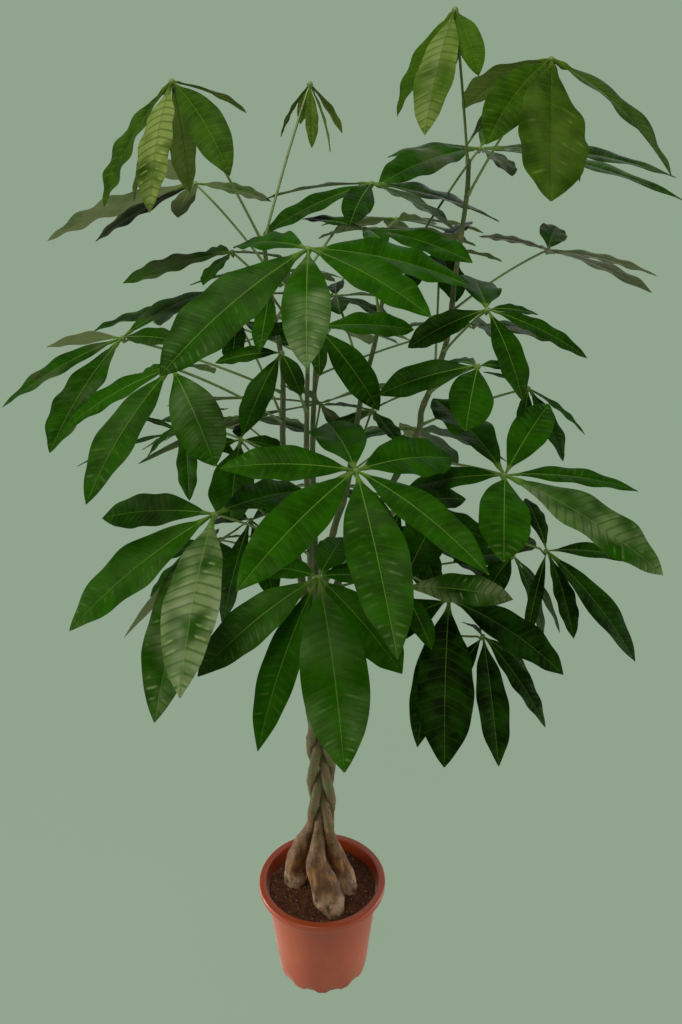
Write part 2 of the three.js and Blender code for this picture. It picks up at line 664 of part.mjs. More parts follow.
// Leaflets of a leaf that fans them evenly: the longest at the given bearing, the rest on both sides.
function spreadLeaflets([bearing, count, pitch, length]) {
  return Array.from({ length: count }, (_, index) => {
    const off = index - (count - 1) / 2;
    const share = Math.abs(off) / (count / 2);
    const shorter = length * (1 - FAN_SHORTENING * share);
    return [bearing + (FAN_ANGLE / count) * off, pitch + FAN_RISE * share, shorter];
  });
}

// A whole leaf as one closed skin. The hub is the petiole's end, opened out to a ring with one side for
// each leaflet, and the leaflets grow from those sides.
function leafSolid(leaf) {
  const leaflets = (leaf.leaflets ?? spreadLeaflets(leaf.spread)).map(([bearing, ...rest]) => [
    THREE.MathUtils.euclideanModulo(bearing, 360),
    ...rest,
  ]);
  leaflets.sort((one, other) => one[0] - other[0]);
  const count = leaflets.length;
  const corners = leaflets.map(([bearing], index) => {
    const before = index ? leaflets[index - 1][0] : leaflets[count - 1][0] - 360;
    return (bearing + before) / 2;
  });
  const curve = petioleCurve(leaf);
  const hub = vector(leaf.hub);
  const axis = curve.getTangent(1).addScaledVector(UP, HUB_UPRIGHT).normalize();
  const skin = new Skin();
  const rows = [];
  for (let step = 0; step < PETIOLE_STEPS; step++) {
    const share = step / PETIOLE_STEPS;
    const across = curve.getTangent(share).lerp(axis, share).normalize();
    const radius = step ? PETIOLE_RADIUS : PETIOLE_FOOT_RADIUS;
    rows.push(cornerRing(curve.getPoint(share), radius, corners, across));
  }
  const middle = (rise) => hub.clone().addScaledVector(axis, rise * HUB_HEIGHT);
  rows.push(cornerRing(middle(-1), PETIOLE_RADIUS, corners, axis));
  rows.push(cornerRing(middle(-0.5), HUB_RADIUS, corners, axis));
  const foot = skin.ring(rows[0]);
  skin.bottom(foot);
  const low = skin.bands(foot, rows.slice(1));
  const high = skin.ring(cornerRing(middle(0.5), HUB_RADIUS, corners, axis));
  skin.top(high);
  leaflets.forEach((leaflet, index) => {
    const next = (index + 1) % count;
    const [sections, tip] = leafletSections(leaf, leaflet);
    const last = skin.bands([low[index], low[next], high[next], high[index]], sections);
    skin.point(last, tip);
  });
  return solidFrom(skin.geometry());
}

const group = new THREE.Group();
group.add(piece("pot", potSolid(), PLASTIC));
group.add(piece("soil", soilSolid(), SOIL));
for (const [name, trunk] of Object.entries(TRUNKS)) {
  group.add(piece("trunk_" + name, trunkSolid(trunk), BARK));
}
for (const leaf of LEAVES) {
  group.add(piece("leaf_" + leaf.name, leafSolid(leaf), leaf.young ? YOUNG_LEAF : GROWN_LEAF));
}

export default group;
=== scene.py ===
import bisect
import math
import random

import bmesh
import bpy
from mathutils import Matrix, Vector


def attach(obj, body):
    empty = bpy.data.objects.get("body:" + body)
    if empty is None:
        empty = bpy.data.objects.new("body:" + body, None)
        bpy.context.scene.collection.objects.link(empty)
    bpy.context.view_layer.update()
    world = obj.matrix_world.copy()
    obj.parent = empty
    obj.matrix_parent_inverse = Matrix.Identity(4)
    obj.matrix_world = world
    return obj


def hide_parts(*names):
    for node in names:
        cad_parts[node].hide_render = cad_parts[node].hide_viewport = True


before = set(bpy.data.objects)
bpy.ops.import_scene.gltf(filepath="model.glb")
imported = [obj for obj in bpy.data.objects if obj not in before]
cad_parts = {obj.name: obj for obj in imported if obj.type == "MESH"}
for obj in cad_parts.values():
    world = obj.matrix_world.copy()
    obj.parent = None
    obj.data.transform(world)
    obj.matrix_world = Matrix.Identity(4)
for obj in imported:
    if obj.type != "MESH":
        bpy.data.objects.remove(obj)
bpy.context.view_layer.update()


# The nursery pot is thin terracotta-coloured plastic, moulded in one piece. It has a rolled lip with a low
# band under it, a foot ring cut into scallops, and drain holes in its floor. It stands on the floor.
POT_SIDES = 144
POT_HEIGHT = 0.152
POT_TOP_RADIUS = 0.084
POT_FOOT_RADIUS = 0.067
POT_WALL = 0.0024
POT_FLOOR = 0.007
FLOOR_FILLET = 0.004
FLOOR_RING = 0.048
LIP_RADIUS = 0.094
LIP_INNER_RADIUS = 0.0845
LIP_DROP = 0.010
LIP_ROUND = 0.003
LIP_EDGE_ROUND = 0.0016
LIP_THICKNESS = 0.004
LIP_UNDERCUT = 0.005
LIP_STEP = 0.0006
COLLAR = 0.002
COLLAR_DROP = 0.0012
FOOT_RING = 0.006
FOOT_ROUND = 0.0008
FOOT_HOLLOW = 0.004
PAD_RADIUS = 0.022
SCALLOP_COUNT = 12
SCALLOP_WIDTH = 17.0
SCALLOP_SLOPE = 3.0
SCALLOP_HEIGHT = 0.0045
DRAIN_COUNT = 6
DRAIN_RADIUS = 0.0045
DRAIN_SIDES = 24
DRAIN_RING = 0.040
BODY_ROWS = 14
POT_SHARP_BEND = 50
PLASTIC_GRAIN_DEPTH = 0.00012

# TERRACOTTA is also painted shade in the band under the lip, where the bloom fades out.
TERRACOTTA = (162, 66, 22)
TERRACOTTA_BLOOM = (182, 90, 50)
TERRACOTTA_LIP = (156, 62, 22)
POT_DIRT = (96, 52, 36)
LIP_COLOUR_FROM = 0.139
LIP_COLOUR_FULL = 0.142


def paint(colour):
    """A colour written as it looks, from 0 to 255, as the renderer's linear colour."""
    shares = [channel / 255 for channel in colour]
    linear = [s / 12.92 if s <= 0.04045 else ((s + 0.055) / 1.055) ** 2.4 for s in shares]
    return (*linear, 1.0)


def add_node(tree, kind, inputs=(), **settings):
    """A node with its settings. An input that is a field is joined to it, and any other is its value."""
    node = tree.nodes.new(kind)
    for name, value in settings.items():
        setattr(node, name, value)
    pairs = inputs.items() if isinstance(inputs, dict) else enumerate(inputs)
    for key, value in pairs:
        if isinstance(value, Field):
            value.to(node.inputs[key])
        else:
            node.inputs[key].default_value = value
    return node


def put(tree, kind, inputs=(), output=0, **settings):
    return Field(add_node(tree, kind, inputs, **settings).outputs[output])


def fields(node):
    return {socket.name: Field(socket) for socket in node.outputs}


class Field:
    """What a node puts out at each place. Fields are reckoned with the usual signs, each sign a node."""

    def __init__(self, socket):
        self.socket = socket
        self.tree = socket.id_data

    def to(self, socket):
        self.tree.links.new(self.socket, socket)

    def calc(self, operation, *others, **settings):
        kind = "ShaderNodeVectorMath" if self.socket.type == "VECTOR" else "ShaderNodeMath"
        return put(self.tree, kind, [self, *others], operation=operation, **settings)

    def __add__(self, other):
        return self.calc("ADD", other)

    def __sub__(self, other):
        return self.calc("SUBTRACT", other)

    def __rsub__(self, number):
        return put(self.tree, "ShaderNodeMath", [number, self], operation="SUBTRACT")

    def __mul__(self, other):
        if self.socket.type == "VECTOR" and not isinstance(other, tuple):
            return put(self.tree, "ShaderNodeVectorMath", {0: self, "Scale": other}, operation="SCALE")
        return self.calc("MULTIPLY", other)

    def __truediv__(self, other):
        return self.calc("DIVIDE", other)

    def __abs__(self):
        return self.calc("ABSOLUTE")

    def axis(self, index):
        return put(self.tree, "ShaderNodeSeparateXYZ", [self], index)

    def rise(self, low, high):
        """0 below low and 1 above high, with a smooth rise between them."""
        inputs = [self, low, high, 0.0, 1.0]
        return put(self.tree, "ShaderNodeMapRange", inputs, interpolation_type="SMOOTHSTEP")

    def fall(self, low, high):
        return 1 - self.rise(low, high)

    def then(self, kind, inputs=(), **settings):
        """The geometry that a further node makes of this one."""
        return put(self.tree, "GeometryNode" + kind, {0: self, **dict(inputs)}, **settings)


def mixed(share, one, other):
    """Two colours, or fields of colour, mixed by a share from 0 to 1."""
    one, other = (paint(colour) if isinstance(colour, tuple) else colour for colour in (one, other))
    return put(share.tree, "ShaderNodeMix", {0: share, 6: one, 7: other}, 2, data_type="RGBA")


def noise(place, scale, detail=3.0, roughness=0.5):
    inputs = {"Vector": place, "Scale": scale, "Detail": detail, "Roughness": roughness}
    return put(place.tree, "ShaderNodeTexNoise", inputs, "Fac")


def new_material(name, constants):
    """A material, its shader's inputs and the piece's own coordinates."""
    material = bpy.data.materials.new(name)
    material.use_nodes = True
    shader = material.node_tree.nodes["Principled BSDF"].inputs
    for label, value in constants.items():
        shader[label].default_value = value
    return material, shader, put(material.node_tree, "ShaderNodeTexCoord", output="Object")


def relief(shader, height, distance, strength):
    inputs = {"Height": height, "Distance": distance, "Strength": strength}
    put(height.tree, "ShaderNodeBump", inputs).to(shader["Normal"])


def plastic_material():
    material, shader, place = new_material("terracotta plastic", {
        "Sheen Weight": 0.5, "Sheen Roughness": 0.24, "Sheen Tint": (0.9, 0.96, 1.0, 1.0)})
    height = place.axis(2)
    haze = noise(place * (1, 1, 0.5), 22, 4, 0.6)
    # The bloom is paler dust low on the body. Its fading out towards the top is painted shade: the band
    # under the lip keeps the deeper terracotta as the lip's shadow.
    low = (haze * 0.07 + height).fall(0.09, 0.16)
    bloom_and_painted_lip_shade = haze.rise(0.35, 0.75) * 0.55 * (low * 1.5)
    body = mixed(bloom_and_painted_lip_shade, TERRACOTTA, TERRACOTTA_BLOOM)
    colour = mixed(height.rise(LIP_COLOUR_FROM, LIP_COLOUR_FULL), body, TERRACOTTA_LIP)
    dirt = noise(place, 900, 2).rise(0.66, 0.74) * 0.22
    mixed(dirt, colour, POT_DIRT).to(shader["Base Color"])
    scuffs = noise(place * (1, 1, 0.06), 260)
    (bloom_and_painted_lip_shade * 0.12 + (scuffs * 0.16 + 0.26)).to(shader["Roughness"])
    relief(shader, noise(place, 1400, 2), PLASTIC_GRAIN_DEPTH, 0.5)
    return material


def pot_radius(height):
    return POT_FOOT_RADIUS + (POT_TOP_RADIUS - POT_FOOT_RADIUS) * height / POT_HEIGHT


def arc(radius, height, size, start, end, steps):
    """Points of an outline round a bend, as pairs of radius and height."""
    angles = [math.radians(start + (end - start) * step / steps) for step in range(steps + 1)]
    return [(radius + size * math.cos(angle), height + size * math.sin(angle)) for angle in angles]


def spun(name, outline, sides):
    """A closed round mesh. The outline runs from the axis at the top to the axis at the bottom."""
    points = []
    rows = []
    for radius, height in outline:
        count = sides if radius else 1
        rows.append([len(points) + side % count for side in range(sides)])
        for side in range(count):
            angle = 2 * math.pi * side / sides
            points.append((radius * math.cos(angle), radius * math.sin(angle), height))
    faces = []
    for upper, lower in zip(rows, rows[1:]):
        for side in range(sides):
            after = (side + 1) % sides
            corners = [upper[side], lower[side], lower[after], upper[after]]
            faces.append(list(dict.fromkeys(corners)))
    mesh = bpy.data.meshes.new(name)
    mesh.from_pydata(points, [], faces)
    return mesh


def add(name, data):
    piece = bpy.data.objects.new(name, data)
    bpy.context.scene.collection.objects.link(piece)
    return piece


def evaluated(piece):
    """The piece's mesh with its modifiers done, and the modifiers removed."""
    graph = bpy.context.evaluated_depsgraph_get()
    mesh = bpy.data.meshes.new_from_object(piece.evaluated_get(graph), depsgraph=graph)
    piece.modifiers.clear()
    before = piece.data
    piece.data = mesh
    bpy.data.meshes.remove(before)
    return mesh


def turned_outwards(mesh, sharp=180):
    """Turns all faces outwards and shades them smooth, apart from bends sharper than that many degrees."""
    body = bmesh.new()
    body.from_mesh(mesh)
    bmesh.ops.remove_doubles(body, verts=body.verts, dist=1e-6)
    bmesh.ops.recalc_face_normals(body, faces=body.faces)
    for face in body.faces:
        face.smooth = True
    for edge in body.edges:
        edge.smooth = edge.calc_face_angle(0) < math.radians(sharp)
    body.to_mesh(mesh)
    body.free()


def scallop_share(angle, radius):
    """1 in the middle of a scallop at the foot, and 0 between two of them."""
    pitch = 360 / SCALLOP_COUNT
    off = abs((math.degrees(angle) % pitch) - pitch / 2)
    distance = math.radians(off) * radius * 1000
    return min(1, max(0, (SCALLOP_WIDTH / 2 - distance) / SCALLOP_SLOPE + 0.5))


def pot_outline(inner_ring):
    """The pot's section from the middle of its floor, up the inside, over the lip and down to its foot."""
    lip_bottom = POT_HEIGHT - LIP_DROP
    inner_foot = pot_radius(POT_FLOOR) - POT_WALL
    outline = [(0, POT_FLOOR), (PAD_RADIUS, POT_FLOOR), (FLOOR_RING, POT_FLOOR)]
    outline += arc(inner_foot - FLOOR_FILLET, POT_FLOOR + FLOOR_FILLET, FLOOR_FILLET, -90, -6, 4)
    for row in range(1, BODY_ROWS):
        height = POT_FLOOR + FLOOR_FILLET + (POT_HEIGHT - POT_FLOOR - 2 * FLOOR_FILLET) * row / BODY_ROWS
        outline.append((pot_radius(height) - POT_WALL, height))
    outline += arc(LIP_INNER_RADIUS, POT_HEIGHT - LIP_EDGE_ROUND, LIP_EDGE_ROUND, 175, 90, 4)
    outline += arc(LIP_RADIUS - LIP_ROUND, POT_HEIGHT - LIP_ROUND, LIP_ROUND, 90, 0, 6)
    outline += arc(LIP_RADIUS - LIP_EDGE_ROUND, lip_bottom + LIP_EDGE_ROUND, LIP_EDGE_ROUND, 0, -90, 4)
    outline += [(LIP_RADIUS - LIP_THICKNESS, lip_bottom + LIP_STEP),
                (LIP_RADIUS - LIP_THICKNESS, lip_bottom + LIP_UNDERCUT),
                (pot_radius(lip_bottom) + COLLAR, lip_bottom + LIP_UNDERCUT),
                (pot_radius(lip_bottom) + COLLAR / 2, lip_bottom + COLLAR_DROP)]
    for row in range(BODY_ROWS):
        height = lip_bottom - (lip_bottom - 2 * SCALLOP_HEIGHT) * row / BODY_ROWS
        outline.append((pot_radius(height), height))
    outline.append((pot_radius(SCALLOP_HEIGHT), SCALLOP_HEIGHT + FOOT_ROUND))
    outline += arc(POT_FOOT_RADIUS - FOOT_ROUND, FOOT_ROUND, FOOT_ROUND, 0, -90, 3)
    outline += [(inner_ring, 0), (inner_ring, FOOT_HOLLOW), (PAD_RADIUS, FOOT_HOLLOW)]
    outline += arc(PAD_RADIUS - 2 * FOOT_ROUND, FOOT_ROUND, FOOT_ROUND, 20, -90, 3)
    return [*outline, (0, 0)]


def make_pot():
    inner_ring = POT_FOOT_RADIUS - FOOT_RING
    mesh = spun("pot_look", pot_outline(inner_ring), POT_SIDES)
    near = 1e-4
    for point in mesh.vertices:
        radius = math.hypot(point.co.x, point.co.y)
        if radius > inner_ring - near and point.co.z <= FOOT_ROUND + near / 10:
            share = scallop_share(math.atan2(point.co.y, point.co.x), radius)
            top = FOOT_HOLLOW - near if radius < inner_ring + near else SCALLOP_HEIGHT
            point.co.z += (top - point.co.z) * share
    turned_outwards(mesh)
    piece = add("pot_look", mesh)
    drains = bmesh.new()
    for index in range(DRAIN_COUNT):
        angle = 2 * math.pi * index / DRAIN_COUNT
        middle = Vector((DRAIN_RING * math.cos(angle), DRAIN_RING * math.sin(angle), POT_FLOOR / 2))
        bmesh.ops.create_cone(
            drains, cap_ends=True, segments=DRAIN_SIDES, radius1=DRAIN_RADIUS, radius2=DRAIN_RADIUS,
            depth=4 * POT_FLOOR, matrix=Matrix.Translation(middle),
        )
    drain_mesh = bpy.data.meshes.new("drains")
    drains.to_mesh(drain_mesh)
    drains.free()
    cut = piece.modifiers.new("drains", "BOOLEAN")
    cutter = add("drains", drain_mesh)
    cut.object = cutter
    cut.solver = "EXACT"
    mesh = evaluated(piece)
    bpy.data.objects.remove(cutter)
    bpy.data.meshes.remove(drain_mesh)
    turned_outwards(mesh, POT_SHARP_BEND)
    mesh.materials.clear()
    mesh.materials.append(plastic_material())
    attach(piece, "root")
    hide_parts("pot")


make_pot()


# The potting soil is dark brown peat with crumbs of bark and grains of perlite. It fills the pot to two
# fingers below the lip. Its top is heaped a little round the trunks, and the crumbs lie loose on it.
SOIL_SECTORS = 132
SOIL_EDGE_HEIGHT = 0.134
SOIL_HEAP = 0.006
SOIL_INSET = 0.0031
SOIL_BOTTOM = 0.0073
SOIL_TOP_ROWS = 38
SOIL_SIDE_ROWS = 6
TOP_FADE = (SOIL_EDGE_HEIGHT - 0.004, SOIL_EDGE_HEIGHT - 0.0005)
CRUMBED_TOP = 0.9
CLOD_HEIGHT = 0.0056
CLOD_SCALE = 80.0
PEAT_DEPTH = 0.0012
CRUMB_GRAIN_DEPTH = 0.0004

PEAT_DARK = (30, 14, 6)
PEAT = (92, 46, 20)
PEAT_PALE = (138, 84, 40)
PERLITE = (178, 160, 128)
PERLITE_DARK = (150, 138, 116)
BARK_CRUMB = (132, 82, 42)
BARK_CRUMB_DARK = (52, 32, 18)

# Each kind of crumb: its spacing, its seed, its smallest and largest size, how deep it sinks, its two
# colours and its roughness.
CRUMBS = {
    "peat crumbs": (0.0030, 4, (0.0006, 0.0005, 0.0004), (0.0022, 0.0018, 0.0013), 0.0002,
                    PEAT_PALE, PEAT_DARK, 0.9),
    "perlite": (0.0135, 9, (0.0005, 0.0005, 0.0004), (0.0016, 0.0014, 0.0011), 0.0,
                PERLITE, PERLITE_DARK, 0.8),
    "bark crumbs": (0.0090, 15, (0.0014, 0.0007, 0.0004), (0.0046, 0.0020, 0.0010), 0.0,
                    BARK_CRUMB, BARK_CRUMB_DARK, 0.85),
}
MOST_CRUMBS = 400000.0
CRUMB_DENT = 1.1
CRUMB_DENT_SCALE = 1.3
CRUMB_TURN = (6.28, 6.28, 6.28)


def smooth(value, low, high):
    share = min(1, max(0, (value - low) / (high - low)))
    return share * share * (3 - 2 * share)


def peat_material():
    material, shader, place = new_material("peat", {})
    clods = noise(place, 120, 5, 0.65)
    fine = noise(place, 700, 4, 0.7)
    colour = mixed(clods.rise(0.35, 0.62), PEAT_DARK, PEAT)
    mixed(fine.rise(0.58, 0.72), colour, PEAT_PALE).to(shader["Base Color"])
    (fine * 0.3 + 0.72).to(shader["Roughness"])
    relief(shader, clods + fine, PEAT_DEPTH, 0.9)
    return material


def named_value(tree, name):
    """A value stored on the piece, for a material."""
    return put(tree, "ShaderNodeAttribute", output="Fac", attribute_name=name)


def crumb_material(name, base, dark, roughness):
    """Crumbs of one kind, each a little lighter or darker than the next."""
    material, shader, place = new_material(name, {})
    grain = noise(place, 1500, 3, 0.6)
    share = grain * 0.5 + named_value(place.tree, "tone") * 0.6
    mixed(share, dark, base).to(shader["Base Color"])
    (grain * 0.2 + (roughness - 0.1)).to(shader["Roughness"])
    relief(shader, grain, CRUMB_GRAIN_DEPTH, 0.8)
    return material


def new_tree(name, sockets):
    """A geometry tree, its named inputs as fields, and its output's socket."""
    tree = bpy.data.node_groups.new(name, "GeometryNodeTree")
    tree.interface.new_socket("Geometry", in_out="OUTPUT", socket_type="NodeSocketGeometry")
    for label, kind, value in [("Geometry", "Geometry", None), *sockets]:
        socket = tree.interface.new_socket(label, in_out="INPUT", socket_type="NodeSocket" + kind)
        if value is not None:
            socket.default_value = value
    return tree, fields(add_node(tree, "NodeGroupInput")), add_node(tree, "NodeGroupOutput").inputs[0]


def named(tree, name, kind="FLOAT"):
    return put(tree, "GeometryNodeInputNamedAttribute", [name], data_type=kind)


def store(geometry, name, value, domain="POINT", kind="FLOAT"):
    inputs = {"Name": name, "Value": value}
    return geometry.then("StoreNamedAttribute", inputs, domain=domain, data_type=kind)


def joined(parts):
    whole = add_node(parts[0].tree, "GeometryNodeJoinGeometry")
    for part in parts:
        part.to(whole.inputs[0])
    return Field(whole.outputs[0])


def random_value(tree, low, high, seed):
    """A number or a vector between two others, drawn for each lump."""
    vector = isinstance(low, tuple)
    first, output, kind = (0, 0, "FLOAT_VECTOR") if vector else (2, 1, "FLOAT")
    inputs = {first: low, first + 1: high, "Seed": seed}
    return put(tree, "FunctionNodeRandomValue", inputs, output, data_type=kind)


def scattered(surface, chosen, spacing, seed, smallest, largest, sink, material):
    """Irregular lumps strewn over the chosen faces, turned and sized at random."""
    tree = surface.tree
    inputs = {"Selection": chosen, "Distance Min": spacing, "Density Max": MOST_CRUMBS, "Seed": seed}
    points = surface.then("DistributePointsOnFaces", inputs, distribute_method="POISSON")
    dent = (noise(put(tree, "GeometryNodeInputPosition"), CRUMB_DENT_SCALE) - 0.5) * CRUMB_DENT
    dent = put(tree, "GeometryNodeInputNormal") * dent
    lump = put(tree, "GeometryNodeMeshIcoSphere", [1.0, 2]).then("SetPosition", {"Offset": dent})
    inputs = {"Instance": lump, "Rotation": random_value(tree, (0, 0, 0), CRUMB_TURN, seed),
              "Scale": random_value(tree, smallest, largest, seed)}
    lumps = points.then("SetPosition", {"Offset": (0, 0, -sink)}).then("InstanceOnPoints", inputs)
    lumps = store(lumps, "tone", random_value(tree, 0.0, 1.0, seed), "INSTANCE")
    return lumps.then("RealizeInstances").then("SetMaterial", {"Material": material})


def soil_tree():
    sockets = [("Clod height", "Float", CLOD_HEIGHT), ("Clod scale", "Float", CLOD_SCALE)]
    sockets += [(name + " spacing", "Float", crumb[0]) for name, crumb in CRUMBS.items()]
    tree, given, result = new_tree("potting soil", sockets)
    top = named(tree, "top")
    clods = noise(put(tree, "GeometryNodeInputPosition"), given["Clod scale"], 6.0, 0.62) - 0.5
    offset = put(tree, "ShaderNodeCombineXYZ", {"Z": clods * given["Clod height"] * top * 2.0})
    body = given["Geometry"].then("SetPosition", {"Offset": offset})
    chosen = top.calc("GREATER_THAN", CRUMBED_TOP)
    lots = [body.then("SetMaterial", {"Material": peat_material()})]
    for name, (_, seed, smallest, largest, sink, base, dark, roughness) in CRUMBS.items():
        material = crumb_material(name, base, dark, roughness)
        spacing = given[name + " spacing"]
        lots.append(scattered(body, chosen, spacing, seed, smallest, largest, sink, material))
    joined(lots).then("RealizeInstances").then("SetShadeSmooth").to(result)
    return tree


def shaped(name, start, tree, settings=()):
    """The mesh that a tree makes of a start mesh, as a new piece."""
    piece = add(name, start)
    modifier = piece.modifiers.new("shape", "NODES")
    modifier.node_group = tree
    for socket in tree.interface.items_tree:
        if socket.name in settings:
            modifier[socket.identifier] = settings[socket.name]
    evaluated(piece)
    piece.data.name = name
    return piece


def give(mesh, name, values):
    """Writes a number or a vector for each point of a mesh."""
    if isinstance(values[0], Vector):
        layer = mesh.attributes.new(name, "FLOAT_VECTOR", "POINT")
        layer.data.foreach_set("vector", [number for value in values for number in value])
    else:
        layer = mesh.attributes.new(name, "FLOAT", "POINT")
        layer.data.foreach_set("value", values)


def make_soil():
    edge_radius = pot_radius(SOIL_EDGE_HEIGHT) - SOIL_INSET
    outline = []
    for row in range(SOIL_TOP_ROWS + 1):
        outwards = row / SOIL_TOP_ROWS
        height = SOIL_EDGE_HEIGHT + SOIL_HEAP * smooth(1 - outwards, 0, 1)
        outline.append((edge_radius * outwards, height))
    for row in range(1, SOIL_SIDE_ROWS + 1):
        height = SOIL_EDGE_HEIGHT + (SOIL_BOTTOM - SOIL_EDGE_HEIGHT) * row / SOIL_SIDE_ROWS
        outline.append((pot_radius(height) - SOIL_INSET, height))
    mesh = spun("soil", [*outline, (0, SOIL_BOTTOM)], SOIL_SECTORS)
    turned_outwards(mesh)
    give(mesh, "top", [smooth(point.co.z, *TOP_FADE) for point in mesh.vertices])
    piece = shaped("soil_look", mesh, soil_tree())
    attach(piece, "root")
    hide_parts("soil")


make_soil()


# The five trunks are young stems, plaited by hand while they were soft. Each has a swollen foot in the soil,
# with grey-brown corky bark, and turns greener up the plait until it leaves it as a green shoot.
# A trunk is a round stem along its own middle line, in millimetres from the middle of the pot's underside.
MM = 0.001
TRUNKS = {
    "left": {"turn": 273.4, "shoulder": (-36, 2), "toe": (-41, 8), "radius": 17, "shoot": [
        (-20, 2, 612), (-32, 0, 700), (-43, 0, 810), (-41, 0, 905), (-49, 0, 965), (-60, 0, 1055)]},
    "front": {"turn": 345.4, "shoulder": (-8, -28), "toe": (17, -44), "radius": 20, "shoot": [
        (-8, -24, 612), (-10, -45, 700), (-12, -55, 800), (-10, -62, 890), (-8, -66, 945)]},
    "right": {"turn": 57.4, "shoulder": (6, 34), "toe": (10, 42), "radius": 13, "shoot": [
        (20, 14, 612), (45, 12, 680), (85, 8, 750), (121, 4, 828), (125, 0, 858), (137, 0, 890),
        (152, 0, 942), (158, 0, 1004), (167, 0, 1095), (168, 0, 1135)]},
    "middle": {"turn": 129.4, "shoulder": (18, 1), "toe": (39, -8), "radius": 15, "shoot": [
        (8, -12, 612), (9, -10, 660), (20, -8, 711), (34, -6, 758), (47, -2, 841), (54, 0, 883),
        (70, 0, 948), (76, 0, 990)]},
    "back": {"turn": 201.4, "shoulder": (-24, 32), "toe": (-26, 40), "radius": 12, "shoot": [
        (-6, 22, 612), (-8, 55, 700), (-10, 95, 800), (-6, 130, 900), (-4, 150, 990)]},
}
BURIED_HEIGHT = 106
TOE_HEIGHT = 137
SWELL_HEIGHT = 160
SWELL_DEPTH = 20
SHOULDER_HEIGHT = 200
GATHER_HEIGHT = 185
BURIED_SHARE = 0.35
PLAIT_START = 262
PLAIT_END = 570
PLAIT_TURN = 309
PLAIT_STEP = 28
PLAIT_HALF_WIDTH = 14
PLAIT_HALF_DEPTH = 13.5
STRAND_RADIUS = 6.6
SHOOT_TIP_RADIUS = 2.4
SHOOT_TIP = ((1.5, 0.8), (2.4, 0.35))
STEM_STEP = 4
NODE_SPACING = 38
NODE_SHIFT = 9
NODE_SWELL = 0.13
NODE_LENGTH = 3.0
NODE_FADE = (300, 420)
TRUNK_CORNERS = 40
RIDGE_DEPTH = 0.26
RIDGE_SCALE = 130.0
RIDGE_STRETCH = (1, 1, 0.16)
LUMP_DEPTH = 0.34
LUMP_SCALE = 46.0
LUMP_STRETCH = (1, 1, 0.6)
LUMP_FADE = (205, 280)
LUMP_FADE_SHARE = 0.6

BARK_GREY = (100, 64, 28)
BARK_TAN = (152, 104, 44)
BARK_DARK = (40, 24, 12)
PLAIT_GREEN = (104, 112, 52)
PLAIT_BROWN = (124, 98, 70)
SHOOT_GREEN = (66, 88, 24)
LENTICEL = (198, 188, 160)
ROOT_PALE = (212, 184, 146)

# How deep the bark's furrows are, and the heights over which it changes: from the pale root ends, from the
# foot to the plait, from the plait to the shoots, and where its specks end. All are in metres.
BARK_DEPTH = 0.0020
ROOT_END = (0.145, 0.178)
PLAIT_FOOT = (0.19, 0.32)
SHOOT_FOOT = (0.46, 0.62)
LENTICEL_TOP = (0.35, 0.6)


def strand_place(turn, height):
    angle = math.radians(turn + 360 * (height - PLAIT_START) / PLAIT_TURN)
    return Vector((PLAIT_HALF_WIDTH * math.sin(angle), PLAIT_HALF_DEPTH * math.sin(2 * angle), height))


def foot_place(trunk, height):
    rise = (min(height, SHOULDER_HEIGHT) - TOE_HEIGHT) / (SHOULDER_HEIGHT - TOE_HEIGHT)
    toe = Vector((*trunk["toe"], height))
    shoulder = Vector((*trunk["shoulder"], height))
    swell = smooth(height, BURIED_HEIGHT - SWELL_DEPTH, SWELL_HEIGHT)
    taper = smooth(height, SWELL_HEIGHT, PLAIT_START)
    gather = smooth(height, GATHER_HEIGHT, PLAIT_START)
    strand = strand_place(trunk["turn"], PLAIT_START)
    strand.z = height
    radius = trunk["radius"] * (BURIED_SHARE + (1 - BURIED_SHARE) * swell)
    foot = toe + (shoulder - toe) * rise
    return foot.lerp(strand, gather), radius + (STRAND_RADIUS - radius) * taper


def smooth_path(knots, step):
    """Points about a step apart on a smooth curve through all the knots."""
    ends = [2 * knots[0] - knots[1], *knots, 2 * knots[-1] - knots[-2]]
    path = []
    for first, second, third, fourth in zip(ends, ends[1:], ends[2:], ends[3:]):
        count = max(1, round((third - second).length / step))
        for index in range(count):
            t = index / count
            bend = second * 2 + (third - first) * t
            bend += (first * 2 - second * 5 + third * 4 - fourth) * t * t
            bend += (second * 3 - first - third * 3 + fourth) * t * t * t
            path.append(bend / 2)
    return [*path, knots[-1]]


def trunk_line(trunk):
    """The middle line of a trunk as pairs of place and radius, in millimetres."""
    line = [foot_place(trunk, height) for height in range(BURIED_HEIGHT, PLAIT_START, STEM_STEP)]
    for height in range(PLAIT_START, PLAIT_END - PLAIT_STEP, STEM_STEP):
        line.append((strand_place(trunk["turn"], height), STRAND_RADIUS))
    knots = [strand_place(trunk["turn"], height) for height in (PLAIT_END - PLAIT_STEP, PLAIT_END)]
    knots += [Vector(point) for point in trunk["shoot"]]
    top = knots[-1].z
    for place in smooth_path(knots, STEM_STEP):
        share = max(0, (place.z - PLAIT_END) / (top - PLAIT_END))
        line.append((place, STRAND_RADIUS + (SHOOT_TIP_RADIUS - STRAND_RADIUS) * math.sqrt(share)))
    return line


